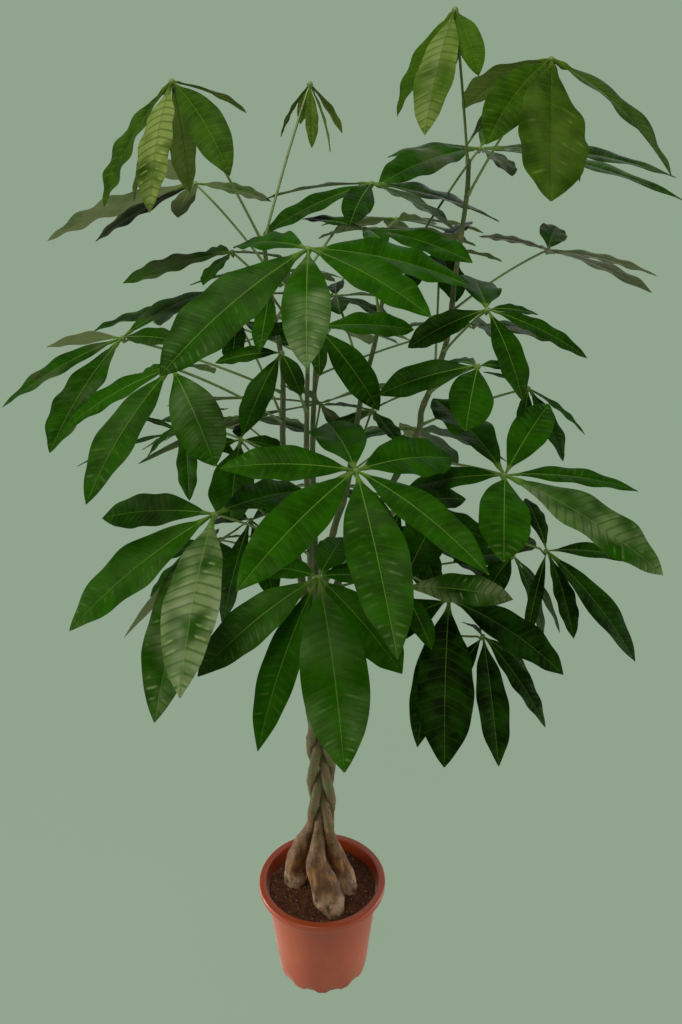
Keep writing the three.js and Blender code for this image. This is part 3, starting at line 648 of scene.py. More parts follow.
def round_stem_tree():
    """A closed round stem along each line, ridged and lumpy, as thick as the line's own values say."""
    tree, given, result = new_tree("round stem", [
        ("Corners", "Int", 12), ("Ridge depth", "Float", 0.0), ("Ridge scale", "Float", 100.0),
        ("Lump depth", "Float", 0.0), ("Lump scale", "Float", 30.0), ("Material", "Material", None)])
    ring = put(tree, "GeometryNodeCurvePrimitiveCircle", [given["Corners"]])
    thick = named(tree, "thick")
    inputs = {"Profile Curve": ring, "Scale": thick, "Fill Caps": True}
    stem = given["Geometry"].then("MeshToCurve").then("CurveToMesh", inputs)
    place = put(tree, "GeometryNodeInputPosition")
    ridge = noise(place * RIDGE_STRETCH, given["Ridge scale"], 2.0) - 0.5
    lump = (noise(place * LUMP_STRETCH, given["Lump scale"], 2.0) - 0.5) * named(tree, "lumpy")
    depth = lump * given["Lump depth"] + ridge * given["Ridge depth"]
    dent = put(tree, "GeometryNodeInputNormal") * (depth * thick * 2.0)
    stem = stem.then("SetPosition", {"Offset": dent}).then("SetShadeSmooth").then("RealizeInstances")
    stem.then("SetMaterial", {"Material": given["Material"]}).to(result)
    return tree


def bark_material():
    """Corky bark at the foot, with pale root ends, and greener and smoother bark up the shoots."""
    material, shader, place = new_material("bark", {})
    height = place.axis(2)
    streaks = noise(place * (1, 1, 0.12), 240, 4, 0.62)
    patches = noise(place, 60, 3, 0.55)
    fine = noise(place * (1, 1, 0.35), 900, 3, 0.6)
    foot = mixed(patches.rise(0.4, 0.7), BARK_GREY, BARK_TAN)
    foot = mixed(streaks.rise(0.42, 0.74) * 0.5, foot, BARK_DARK)
    root = height.fall(*ROOT_END) * patches.rise(0.3, 0.6)
    foot = mixed(root * 0.85, foot, ROOT_PALE)
    bare = (streaks * 0.5 + patches * 0.5).rise(0.46, 0.56)
    plait = mixed(bare, PLAIT_GREEN, PLAIT_BROWN)
    plait = mixed(patches.rise(0.62, 0.74), plait, BARK_DARK)
    wander = (patches - 0.5) * 0.10 + height
    colour = mixed(wander.rise(*PLAIT_FOOT), foot, plait)
    shoot = mixed(streaks.rise(0.50, 0.75) * 0.4, SHOOT_GREEN, PLAIT_BROWN)
    colour = mixed(wander.rise(*SHOOT_FOOT), colour, shoot)
    colour = mixed(fine.rise(0.5, 0.75) * 0.35, colour, BARK_DARK)
    inputs = {"Vector": place * (1, 1, 0.6), "Scale": 210.0}
    specks = put(place.tree, "ShaderNodeTexVoronoi", inputs, "Distance").fall(0.10, 0.17)
    dots = specks * noise(place, 90, 2).rise(0.50, 0.58) * height.fall(*LENTICEL_TOP)
    colour = mixed(dots * 0.75, colour, LENTICEL)
    colour = mixed(named_value(place.tree, "node") * 0.55, colour, PLAIT_BROWN)
    colour.to(shader["Base Color"])
    (fine * 0.3 + 0.5).to(shader["Roughness"])
    relief(shader, streaks * 1.5 + (fine * 0.5 + dots), BARK_DEPTH, 0.9)
    return material


def line_mesh(name, lines):
    """A mesh of open lines. Each line is a list of places."""
    points = [place for line in lines for place in line]
    edges = []
    first = 0
    for line in lines:
        edges += [(first + index, first + index + 1) for index in range(len(line) - 1)]
        first += len(line)
    mesh = bpy.data.meshes.new(name)
    mesh.from_pydata(points, edges, [])
    return mesh


STEM_TREE = round_stem_tree()
TRUNK_LINES = {name: trunk_line(trunk) for name, trunk in TRUNKS.items()}


def make_trunk(name, material):
    line = TRUNK_LINES[name]
    rows = []
    for place, radius in line:
        off = (place.z + len(name) * NODE_SHIFT) % NODE_SPACING
        off = min(off, NODE_SPACING - off)
        node = math.exp(-((off / NODE_LENGTH) ** 2)) * smooth(place.z, *NODE_FADE)
        lumpy = 1 - LUMP_FADE_SHARE * smooth(place.z, *LUMP_FADE)
        rows.append((place * MM, radius * (1 + NODE_SWELL * node) * MM, lumpy, node))
    for rise, share in SHOOT_TIP:
        rows.append(((line[-1][0] + Vector((0, 0, rise))) * MM, SHOOT_TIP_RADIUS * share * MM, 0, 0))
    places, *values = zip(*rows)
    start = line_mesh("trunk", [places])
    for key, numbers in zip(("thick", "lumpy", "node"), values):
        give(start, key, numbers)
    settings = {"Corners": TRUNK_CORNERS, "Ridge depth": RIDGE_DEPTH, "Ridge scale": RIDGE_SCALE,
                "Lump depth": LUMP_DEPTH, "Lump scale": LUMP_SCALE, "Material": material}
    piece = shaped("trunk_" + name + "_look", start, STEM_TREE, settings)
    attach(piece, "root")
    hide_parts("trunk_" + name)


trunk_bark = bark_material()
for trunk_name in TRUNKS:
    make_trunk(trunk_name, trunk_bark)


# The leaves are palm-shaped: a long petiole that grows out of a shoot, with a knob at its end, and three to
# seven leaflets round the knob. A leaflet is a thin glossy blade, folded at its pale midrib, quilted between
# its veins and waved at its margins.

# A leaf is its name, its shoot, its foot's height on the shoot, its hub, where the leaflets meet, its
# traits and its leaflets. A leaflet is (bearing, pitch, length), in degrees and millimetres, with how many
# times the usual width it has where that isn't 1. Leaflets that gleam, with a coat and a painted
# reflection, or that are dry, are named by number.
LEAVES = [
    ("right_1", "right", 1132, (145, -10, 1277), {"arch": 45, "young": 1, "gleam": {2: 1.6}}, [
        (167, -37, 114, 1.1), (120, -10, 110), (-120, -40, 140), (82, -16, 72), (12, -34, 58),
        (-60, -35, 80)]),
    ("right_2", "right", 1100, (245, -20, 1230), {"arch": 55, "young": 1, "tone": 0.25,
                                                  "gleam": {4: 0.65}}, [
        (122, 15, 145), (155, -16, 125), (-135, -12, 140), (90, 5, 135), (-97, -30, 168, 1.45),
        (40, -32, 135), (-27, -14, 176, 1.3)]),
    ("left_1", "left", 1050, (-146, -30, 1208), {"arch": 50, "young": 1, "width": 0.29, "tone": 0.15,
                                                 "gleam": {2: 2.4}}, [
        (-172, -32, 146, 1.4), (140, -30, 140), (-103, -35, 150), (92, -25, 135), (-47, -20, 135),
        (35, 10, 90)]),
    ("left_2", "left", 1052, (-7, 60, 1220), {"arch": 45, "young": 1, "width": 0.26, "tone": 0.8,
                                              "gleam": {1: 1.6}}, [
        (175, -35, 65), (-85, -50, 72), (110, -20, 55), (5, -50, 75), (45, -20, 70)]),
    ("left_3", "left", 1025, (-150, 100, 1118), {"arch": 35, "light": 0.8, "withered": 0.6}, [
        (-160, -3, 190), (-173, -11, 142, 1.1), (-100, -14, 78, 1.2), (5, 5, 95), (130, 30, 120)]),
    ("middle_1", "middle", 985, (206, 170, 1164), {"arch": 40, "light": 0.8, "width": 0.27,
                                                   "withered": 0.4, "tone": 0.35}, [
        (175, 15, 120), (-146, 3, 168, 1.2), (66, 40, 120), (-71, -4, 96, 1.4), (7, 13, 278, 0.6),
        (-25, 5, 262, 0.55)]),
    ("left_4", "left", 965, (64, 60, 1116), {"arch": 35, "light": 0.5, "withered": 0.35, "tone": 0.4}, [
        (-162, -6, 145, 0.8), (-109, -12, 98, 1.1), (-36, -8, 124, 1.3), (156, 11, 150, 0.8),
        (13, 3, 170, 1.1)]),
    ("middle_2", "middle", 970, (55, 10, 1065), {"arch": 35, "tone": 0.35}, [
        (150, 25, 85), (-130, 10, 80), (-75, 5, 80), (-33, 3, 140), (22, 10, 150)]),
    ("front_1", "front", 915, (-3, -150, 1046), {"arch": 40, "fine": 1, "gleam": {1: 0.5, 2: 1.9}}, [
        (130, 20, 130), (-148, -15, 190), (-90, -25, 140), (-27, -5, 140), (24, 8, 186, 0.85)]),
    ("left_5", "left", 1000, (-98, 20, 1040), {"arch": 30, "light": 0.7, "withered": 0.35,
                                               "dry": {0: 0.45}}, [
        (-165, 0, 130), (-110, -10, 80), (130, 10, 80), (45, 8, 85)]),
    ("left_6", "left", 880, (-223, -20, 947), {"arch": 40, "light": 0.6, "withered": 0.4, "dry": {0: 0.7}}, [
        (168, 12, 100, 0.7), (-163, -8, 157, 0.75), (-120, -22, 163, 1.1), (-30, 20, 85),
        (45, 40, 135)]),
    ("left_7", "left", 845, (-145, -130, 930), {"arch": 45, "fine": 1, "ribbed": 1.8,
                                                  "gleam": {1: 0.55, 2: 0.9}}, [
        (-170, -6, 130, 0.75), (-126, -21, 168, 0.9), (-52, -26, 118, 1.35), (70, 10, 90), (145, 5, 60)]),
    ("front_2", "front", 938, (-49, -60, 999), {"arch": 40}, [
        (-164, -19, 98, 1.4), (-95, -20, 85), (150, 10, 70), (50, 10, 70)]),
    ("front_3", "front", 870, (-35, -100, 941), {"arch": 40}, [
        (-125, -30, 100), (-65, -15, 65), (170, 10, 75)]),
    ("middle_3", "middle", 905, (2, -50, 962), {"arch": 35}, [
        (8, 15, 110, 1.2), (-25, -32, 115), (-85, -35, 60), (75, 12, 60), (170, 10, 70)]),
    ("right_3", "right", 930, (187, -60, 982), {"arch": 40, "tone": 0.35}, [
        (93, 38, 92, 1.8), (180, -6, 95, 1.2), (26, 13, 72, 0.7), (0, -5, 126, 0.7),
        (-52, -38, 108, 1.1)]),
    ("right_4", "right", 880, (173, -100, 927), {"arch": 40, "light": 0.5}, [
        (178, 3, 110, 1.1), (-105, -10, 102, 1.4), (40, 10, 75, 0.6), (110, 15, 75)]),
    ("right_5", "right", 840, (259, 30, 880), {"arch": 45, "tone": 0.25}, [
        (168, 40, 60, 0.6), (-25, -13, 90, 0.8), (-55, -29, 102, 1.3), (-110, -35, 70)]),
    ("right_6", "right", 795, (199, -150, 821), {"arch": 45, "light": 0.0, "fine": 1, "ribbed": 1.4,
                                                 "gleam": {4: 1.5}}, [
        (117, 45, 150, 1.15), (55, 48, 130), (175, 12, 105, 1.1), (5, 14, 150, 0.6), (-32, -2, 184, 1.15),
        (-100, 0, 130, 1.25)]),
    ("front_4", "front", 760, (42, -230, 849), {"arch": 40, "fine": 1, "tone": 0.55, "gleam": {2: 0.55}}, [
        (-172, 23, 127), (-125, 0, 180, 0.8), (-81, -8, 209, 0.8), (-53, 5, 180, 0.65), (40, 15, 135, 1.2),
        (104, 30, 118, 1.4)]),
    ("left_8", "front", 690, (-103, -170, 785), {"arch": 45, "fine": 1, "tone": 0.45, "ribbed": 2.2,
                                                 "gleam": {0: 0.8, 1: 0.55, 2: 2.4, 3: 1.3}}, [
        (165, 15, 135), (-153, -10, 185, 0.95), (-94, -10, 207, 0.85), (-114, -32, 216, 0.85),
        (105, -35, 120, 1.3), (45, 20, 135, 1.2)]),
    ("front_5", "front", 650, (4, -170, 714), {"arch": 45, "fine": 1, "tone": 0.85, "ribbed": 1.6,
                                               "gleam": {0: 0.6, 1: 0.7}}, [
        (-147, -5, 162, 0.9), (-80, -15, 208), (-40, -12, 135, 1.2), (-129, -36, 192, 0.65),
        (40, 5, 90), (72, 30, 92, 1.3), (135, 10, 100)]),
    ("middle_4", "middle", 670, (97, -120, 679), {"arch": 40, "tone": 0.35, "gleam": {0: 1.7}}, [
        (-15, 20, 125), (57, 55, 110, 1.5), (-67, -10, 85), (175, -10, 85)]),
    ("right_7", "right", 680, (158, -80, 645), {"arch": 50, "fine": 1, "tone": 0.1}, [
        (-98, -15, 199, 1.05), (-121, -40, 180, 0.7), (-152, 8, 116, 1.1), (-31, 3, 156, 1.1),
        (40, 0, 110)]),
    ("right_8", "right", 650, (211, -30, 570), {"arch": 50, "width": 0.26, "bow": -0.3, "fine": 1,
                                                "tone": 0.15}, [
        (-90, -10, 170), (-47, -15, 135), (0, -20, 100), (-148, -28, 95), (100, 10, 80)]),
    ("right_9", "right", 730, (286, -20, 684), {"arch": 50, "fine": 1, "tone": 0.2}, [
        (0, 18, 124, 0.7), (-47, -13, 168, 1.0), (-72, -24, 114, 0.9), (-120, -35, 120, 0.5),
        (100, 55, 90)]),
    ("right_10", "right", 975, (292, 120, 1041), {"arch": 30, "light": 0.7, "withered": 0.75,
                                                  "dry": {0: 0.45}}, [
        (70, 38, 74, 1.6), (170, 25, 90), (-10, 2, 140, 0.7), (-46, -3, 152, 0.85), (-105, 12, 65)]),
    ("back_1", "back", 790, (0, 130, 841), {"arch": 35, "light": 0.2, "withered": 0.5}, [
        (172, 15, 220, 0.6), (-155, 5, 260, 0.6), (120, 20, 120), (-5, 30, 125), (-65, -5, 80)]),
    ("left_9", "left", 740, (-100, 40, 812), {"arch": 40, "light": 1.0, "width": 0.42}, [
        (-170, 5, 70), (-105, -45, 105, 1.5), (90, 25, 75), (0, 5, 60)]),
    ("left_10", "left", 800, (-165, 20, 842), {"arch": 40}, [
        (-80, -50, 100), (-155, -20, 65), (40, 25, 65), (130, 10, 65)]),
    ("left_11", "left", 660, (-89, 20, 711), {"arch": 45, "tone": 0.15, "dry": {0: 0.9}}, [
        (-163, -18, 225, 0.35), (-115, -35, 140), (-60, -30, 110), (60, 10, 90), (130, 5, 100)]),
    ("middle_5", "middle", 640, (103, -10, 738), {"arch": 40, "light": 0.6, "tone": 0.1}, [
        (-60, -25, 115), (-10, 0, 130), (35, 15, 110), (100, 20, 90), (-120, -30, 90)]),
    ("right_12", "right", 900, (153, 110, 1041), {"arch": 40, "tone": 0.25}, [
        (-167, 11, 90, 1.2), (-128, -12, 108), (-82, -16, 100, 1.2), (-15, 10, 80, 1.2), (56, 42, 93)]),
    ("right_13", "right", 620, (263, 60, 645), {"arch": 50, "tone": 0.15}, [
        (-47, -36, 120, 0.8), (0, -33, 140, 0.7), (-160, 27, 92, 1.3), (-128, 0, 92, 1.2),
        (60, 20, 95)]),
    ("left_12", "left", 680, (-187, 90, 811), {"arch": 35, "tone": 0.2}, [
        (-167, 1, 142, 0.5), (169, 34, 60, 0.7), (-21, 1, 87), (68, 10, 74)]),
    ("middle_6", "middle", 760, (68, 70, 844), {"arch": 40, "tone": 0.2}, [
        (-170, 27, 70, 1.2), (-134, 6, 75, 1.2), (-64, -2, 78, 1.2), (-11, 44, 60), (95, 0, 62)]),
    ("middle_7", "middle", 890, (22, 60, 988), {"arch": 40, "tone": 0.2}, [
        (-85, 5, 65, 1.2), (-30, 0, 85, 1.2), (-150, 5, 85, 1.2), (30, 15, 80), (150, 20, 80),
        (90, 30, 70)]),
    ("left_13", "left", 850, (-100, 60, 960), {"arch": 40, "tone": 0.2}, [
        (-90, -15, 80, 1.2), (-30, 0, 85, 1.2), (-150, 0, 85, 1.2), (30, 15, 80), (110, 20, 80)]),
    ("right_14", "right", 665, (130, 30, 700), {"arch": 45, "tone": 0.1}, [
        (-95, -20, 85, 1.3), (-30, -5, 85, 1.2), (-160, 0, 80, 1.2), (40, 15, 80), (120, 20, 75)]),
]

# Leaves that fan their leaflets evenly. The fan is (bearing of its longest, count, pitch, length).
SPREAD_LEAVES = [
    ("back_2", "back", 940, (-70, 240, 1010), 40, (115, 6, 5, 145)),
    ("back_3", "back", 960, (105, 230, 1080), 40, (60, 6, 5, 150)),
    ("back_4", "back", 900, (-190, 190, 960), 40, (140, 6, 5, 160)),
    ("back_5", "back", 880, (215, 190, 940), 40, (40, 6, 5, 160)),
    ("back_6", "back", 850, (10, 300, 925), 45, (90, 6, 5, 180)),
    ("back_7", "back", 740, (-130, 230, 800), 45, (120, 6, 0, 180)),
    ("back_8", "back", 720, (140, 240, 780), 45, (60, 6, 0, 180)),
    ("back_9", "back", 680, (0, 250, 690), 45, (90, 5, -5, 180)),
    ("back_10", "back", 640, (-150, 110, 650), 45, (170, 5, -5, 150)),
    ("right_11", "right", 640, (150, 120, 640), 45, (30, 5, -5, 150)),
]
FAN_ANGLE = 300
FAN_RISE = 12
FAN_SHORTENING = 0.35

# How a leaf faces the light, how its leaflets bend, and how their tone and sheen vary. Angles are in
# degrees, and the rest are shares. Only a sheen over the least one gives a coat and a painted reflection,
# and any sheen strengthens the painted rib highlights.
LEAF_SEED = 23
OUTWARD_LEAN = 0.45
LIGHT_LEAN = 0.35
FACED_SHARE = 0.35
STALK_BEND = 0.25
BLADE_BEND = 0.5
SIDE_BEND = 7
TWIST = 20
TONE_SPREAD = 0.08
LEAFLET_TONE_SPREAD = 0.16
LEAST_SHEEN = 0.4

# The petiole, with its sizes in millimetres. The knob is its heights over the hub and its radii there.
PETIOLE_STEPS = 26
PETIOLE_BOW = 0.05
PETIOLE_RADIUS = 1.45
PETIOLE_FOOT_RADIUS = 2.7
PETIOLE_FOOT_LENGTH = 7
PETIOLE_FOOT_INSET = 0.5
PETIOLE_CORNERS = 10
PETIOLE_RIDGE_DEPTH = 0.05
PETIOLE_RIDGE_SCALE = 400.0
HUB_UPRIGHT = 2
KNOB = [(-5.0, 1.9), (-3.2, 2.8), (-1.6, 3.5), (0.3, 3.5), (1.8, 2.7), (2.6, 1.2)]

# The blade's veins. Their spacing is in millimetres, for a leaflet of the length that is given with it, and
# their width is a share of it. The midrib's width is in metres.
VEIN_SPACING = 9.0
VEIN_SPACING_LENGTH = 180.0
VEIN_SPACING_SPREAD = (0.95, 1.25)
VEIN_SLOPE = 0.46
VEIN_WIDTH = 0.06
MIDRIB_WIDTH = 0.0006
NET_SCALE = 900.0
FEWEST_VEINS = 9
ROWS_A_VEIN = 3
FINE_ROWS_A_VEIN = 4
LEAF_COLUMNS = 5
FINE_LEAF_COLUMNS = 6
COLUMN_CROWDING = 1.6

# The blade's shape. Sizes are in metres and angles in radians, and the rest are shares, counts and scales.
BLADE_WIDTH_SHARE = 0.32
STALK_END = 0.07
BLADE_START = 0.12
BLADE_END = 0.015
LEAST_HALF_WIDTH = 0.02
BLADE_THICKNESS = 0.00034
BLADE_FOLD = 0.30
BLADE_DROOP = 0.20
MIDRIB_RADIUS = 0.0013
RIB_TAPER = 0.75
RIB_SPREAD = 1.5
RIB_RISE = 0.2
STALK_RISE = 0.85
QUILTING = 0.0004
QUILT_SLOPE = 7.0
MARGIN_WAVE = 0.07
WAVE_CROWDING = 2.6
WAVE_CYCLES = (2.4, 4.6)
WAVE_SHIFT = 1.4
FULL_TURN = 6.283
UNEVEN_WAVE = 0.2
UNEVEN_WAVE_SCALE = 26
MERGE_DISTANCE = 0.000004
BLADE_SHARP_BEND = 1.1

# Half the blade's width, as a share of its widest, by where on the midrib a vein starts.
BLADE_OUTLINE = [(0, 0.06), (0.05, 0.08), (0.09, 0.15), (0.16, 0.42), (0.26, 0.76), (0.38, 0.96),
                 (0.52, 1.0), (0.66, 0.91), (0.79, 0.68), (0.89, 0.40), (0.95, 0.20), (0.98, 0.09),
                 (1, 0.02)]

# The colours of a blade: its dark and light green, its veins, midrib and underside, and the pale colour
# of its painted reflection and painted rib highlights.
GROWN_COLOURS = [(8, 24, 1), (34, 82, 1), (64, 100, 18), (92, 124, 46), (112, 124, 80), (122, 140, 88)]
YOUNG_COLOURS = [(20, 48, 1), (62, 96, 10), (96, 120, 34), (72, 96, 24), (120, 142, 66), (134, 152, 74)]
GROWN_GLOSS = 0.38
YOUNG_GLOSS = 0.44
WITHERED = (92, 99, 66)
BLADE_RELIEF = 0.0004
PETIOLE_RELIEF = 0.0003
PETIOLE_GREEN = (98, 124, 52)
PETIOLE_BROWN = (104, 92, 54)


def veins_group():
    """Masks of a leaflet's midrib, side veins and fine net, and of its painted reflection and painted rib
    highlights, from the values stored on the blade.
    """
    tree = bpy.data.node_groups.new("leaf veins", "ShaderNodeTree")
    for label, value in (("Midrib width", MIDRIB_WIDTH), ("Vein width", VEIN_WIDTH),
                         ("Net scale", NET_SCALE)):
        socket = tree.interface.new_socket(label, in_out="INPUT", socket_type="NodeSocketFloat")
        socket.default_value = value
    given = fields(add_node(tree, "NodeGroupInput"))
    share, off, across, vein, withered, gloss_and_painted_light = (
        named_value(tree, name) for name in ("share", "off", "across", "vein", "withered", "gloss_and_painted_light"))
    across = abs(across)
    blade = share.rise(STALK_END, BLADE_START)
    midrib = (off / (given["Midrib width"] * (share * -0.72 + 1.0))).fall(0.6, 1.5)
    turn = (vein + 0.5).calc("FRACT")
    gap = abs(turn - 0.5)
    place = put(tree, "ShaderNodeTexCoord", output="Object")
    patches = noise(place, 24, 2)
    # Painted reflection: pale patches on a leaflet whose sheen is over the least. The same patches set its
    # coat.
    coat_and_painted_reflection = (gloss_and_painted_light - LEAST_SHEEN).calc("MAXIMUM", 0.0) * noise(place, 20, 2).rise(0.34, 0.68)
    # Painted highlights: thin pale crescents on the crests between the veins, broken into patches, stronger
    # with more sheen.
    highlight_crest = (0.5 - abs(turn - 0.32)).rise(0.30, 0.5) * (across.rise(0.08, 0.4) * across.fall(0.7, 0.98))
    highlight_breaks = noise(place, 60, 2).rise(0.42, 0.7) * (patches * 0.8 + share * 0.5).rise(0.5, 0.85)
    pale = highlight_crest * highlight_breaks * (gloss_and_painted_light * 0.7 + 0.1)
    masks = {
        "Midrib": midrib.calc("MAXIMUM", 1 - blade),
        "Veins": (gap / given["Vein width"]).fall(0.3, 1.3) * (across * -0.55 + 1.0) * blade,
        "Net": put(tree, "ShaderNodeTexVoronoi", {"Vector": place, "Scale": given["Net scale"]}, "Distance"),
        "Hollow": gap.fall(0.0, 0.22) * blade,
        "Blotches": noise(place, 46, 3, 0.55),
        "Tone": named_value(tree, "tone"),
        "Withered": (withered * 1.7 + (patches - 1.1)).rise(0.0, 0.5),
        "Sheen": coat_and_painted_reflection * blade,
        "Painted rib highlights": pale.calc("MULTIPLY", blade, use_clamp=True),
        "Under": named_value(tree, "under"),
    }
    for label in masks:
        tree.interface.new_socket(label, in_out="OUTPUT", socket_type="NodeSocketFloat")
    result = add_node(tree, "NodeGroupOutput").inputs
    for label, mask in masks.items():
        mask.to(result[label])
    return tree


LEAF_VEINS = veins_group()


def blade_material(name, dark, green, vein, midrib, under, pale, gloss):
    """A leaflet: glossy above with pale sunken veins, a painted reflection and painted highlights on its
    ribs, and paler and duller below.
    """
    material, shader, place = new_material(name, {
        "Specular IOR Level": 0.045, "Specular Tint": (0.8, 1.0, 0.45, 1.0),
        "Coat Roughness": 0.34, "Coat IOR": 1.35})
    masks = fields(add_node(place.tree, "ShaderNodeGroup", node_tree=LEAF_VEINS))
    blotch = masks["Blotches"].rise(0.3, 0.7)
    top = mixed(blotch * 0.45 + masks["Tone"] * 0.75, dark, green)
    top = mixed(masks["Withered"] * 0.8, top, WITHERED)
    # Painted reflection: the pale colour laid in patches where the leaflet has sheen, kept off the sunken
    # veins so that they stay dark in it.
    painted_reflection = (masks["Sheen"] * 0.45).calc("MINIMUM", 0.68) * (masks["Hollow"] * -0.65 + 1.0)
    top = mixed(painted_reflection, top, pale)
    # Painted highlights on the ribs' crests, in the same pale colour.
    top = mixed(masks["Painted rib highlights"] * 0.72, top, pale)
    top = mixed(masks["Veins"] * 0.3, top, vein)
    top = mixed(masks["Midrib"] * 0.8, top, midrib)
    back = mixed(blotch * 0.4, under, green)
    back = mixed(masks["Veins"] * 0.55, back, midrib)
    back = mixed(masks["Midrib"], back, midrib)
    mixed(masks["Under"], top, back).to(shader["Base Color"])
    masks["Sheen"].calc("MULTIPLY", 0.25, use_clamp=True).to(shader["Coat Weight"])
    dust = noise(place, 300, 3, 0.6) * 0.16 + (gloss - 0.08)
    (masks["Under"] * 0.22 + dust).to(shader["Roughness"])
    height = masks["Veins"] * -0.25 + (masks["Net"] * 0.1 + masks["Hollow"] * -0.6)
    relief(shader, height, BLADE_RELIEF, 0.5)
    return material


def petiole_material():
    material, shader, place = new_material("petiole", {})
    streaks = noise(place * (1, 1, 0.2), 500)
    mixed(streaks.rise(0.55, 0.72), PETIOLE_GREEN, PETIOLE_BROWN).to(shader["Base Color"])
    (streaks * 0.2 + 0.4).to(shader["Roughness"])
    relief(shader, streaks, PETIOLE_RELIEF, 0.6)
    return material


def blades_tree():
    """Closed blades round their midribs. Each has two skins that meet at its margin and its two ends."""
    tree, given, result = new_tree("leaf blades", [
        ("Columns a side", "Int", LEAF_COLUMNS), ("Thickness", "Float", BLADE_THICKNESS),
        ("Midrib radius", "Float", MIDRIB_RADIUS), ("Fold", "Float", BLADE_FOLD),
        ("Droop", "Float", BLADE_DROOP), ("Margin wave", "Float", MARGIN_WAVE),
        ("Uneven wave", "Float", UNEVEN_WAVE), ("Quilting", "Float", QUILTING),
        ("Vein slope", "Float", VEIN_SLOPE), ("Material", "Material", None)])
    place = put(tree, "GeometryNodeInputPosition")
    ribs = store(given["Geometry"].then("MeshToCurve"), "rib", place, kind="FLOAT_VECTOR")
    span = put(tree, "GeometryNodeCurvePrimitiveLine", [(-1, 0, 0), (1, 0, 0)])
    span = span.then("ResampleCurve", {"Count": given["Columns a side"] * 2.0 + 1.0})
    even = place.axis(0)
    span = store(span, "across", abs(even).calc("POWER", COLUMN_CROWDING) * even.calc("SIGN"))
    sheet = ribs.then("CurveToMesh", {"Profile Curve": span})

    across, share, half, vein, cycles, phase = (
        named(tree, name) for name in ("across", "share", "half", "vein", "cycles", "phase"))
    along, side, rib_place = (named(tree, name, "FLOAT_VECTOR") for name in ("along", "side", "rib"))
    normal = along.calc("CROSS_PRODUCT", side)
    outwards = abs(across)
    off = outwards * half
    square = across * across
    blade = share.rise(STALK_END, BLADE_START)
    ends = share.rise(0.0, BLADE_END) * share.fall(1 - BLADE_END, 1.0)
    stalk_height = (1 - square).calc("SQRT") * half * (1 - blade)

    ridge = vein.calc("FRACT") * 2.0 - 1.0
    edge_fade = 1 - square * square
    quilt = (1 - ridge * ridge) * edge_fade * outwards.calc("MULTIPLY", QUILT_SLOPE, use_clamp=True)
    angle = share * (cycles * FULL_TURN) + across.calc("SIGN") * WAVE_SHIFT + phase
    wave = angle.calc("SINE") * (outwards.calc("POWER", WAVE_CROWDING) * half) * given["Margin wave"]
    uneven = (noise(rib_place, UNEVEN_WAVE_SCALE, 1) - 0.5) * across * (half * given["Uneven wave"])
    rib = given["Midrib radius"] * (share * -RIB_TAPER + 1.0)
    near = off / (rib * RIB_SPREAD)
    rib_height = put(tree, "ShaderNodeMath", [1.0, near * near], operation="SUBTRACT", use_clamp=True) * rib

    droop = square * half * given["Droop"]
    rise = off * given["Fold"] - droop + (quilt * given["Quilting"] + (uneven + wave))
    rise = stalk_height * STALK_RISE * ends + (rib_height * RIB_RISE * ends + rise * blade)
    thick = (stalk_height * (2 * STALK_RISE) + (edge_fade * given["Thickness"] + rib_height) * blade) * ends
    flat = rib_place + (along * (off * given["Vein slope"]) + side * (across * half))
    upper = flat + normal * rise
    lower = upper - normal * thick

    sheet = store(sheet, "off", off)
    top = store(sheet.then("SetPosition", {"Position": upper}), "under", 0.0, "FACE")
    back = sheet.then("SetPosition", {"Position": lower}).then("FlipFaces")
    back = store(back, "under", 1.0, "FACE")
    whole = joined([back, top]).then("MergeByDistance", {"Distance": MERGE_DISTANCE})
    whole = whole.then("SetShadeSmooth")
    sharp = put(tree, "GeometryNodeInputMeshEdgeAngle").calc("GREATER_THAN", BLADE_SHARP_BEND)
    inputs = {"Selection": sharp, "Shade Smooth": False}
    whole = whole.then("SetShadeSmooth", inputs, domain="EDGE").then("RealizeInstances")
    whole.then("SetMaterial", {"Material": given["Material"]}).to(result)
    return tree


def leaf_tree():
    """A whole leaf: its stem lines become round stems, and its midribs become blades."""
    tree, given, result = new_tree("palm-shaped leaf", [
        ("Columns a side", "Int", LEAF_COLUMNS), ("Quilting", "Float", QUILTING),
        ("Blade material", "Material", None), ("Petiole material", "Material", None)])
    inputs = {"Geometry": given["Geometry"], "Selection": named(tree, "thick").calc("GREATER_THAN", 0.0)}
    parts = fields(add_node(tree, "GeometryNodeSeparateGeometry", inputs, domain="POINT"))
    inputs = {"Corners": PETIOLE_CORNERS, "Ridge depth": PETIOLE_RIDGE_DEPTH,
              "Ridge scale": PETIOLE_RIDGE_SCALE, "Material": given["Petiole material"]}
    stems = parts["Selection"].then("Group", inputs, node_tree=STEM_TREE)
    inputs = {"Columns a side": given["Columns a side"], "Quilting": given["Quilting"],
              "Material": given["Blade material"]}
    blades = parts["Inverted"].then("Group", inputs, node_tree=BLADES_TREE)
    joined([stems, blades]).then("RealizeInstances").to(result)
    return tree


BLADES_TREE = blades_tree()
LEAF_TREE = leaf_tree()


def shoot_at(trunk_name, height):
    """The middle, radius and direction of a shoot at a height, in millimetres."""
    line = TRUNK_LINES[trunk_name]
    above = min(len(line) - 1, bisect.bisect_left([place.z for place, _ in line], height))
    (low, low_radius), (high, high_radius) = line[above - 1], line[above]
    share = (height - low.z) / (high.z - low.z)
    return low.lerp(high, share), low_radius + (high_radius - low_radius) * share, (high - low).normalized()


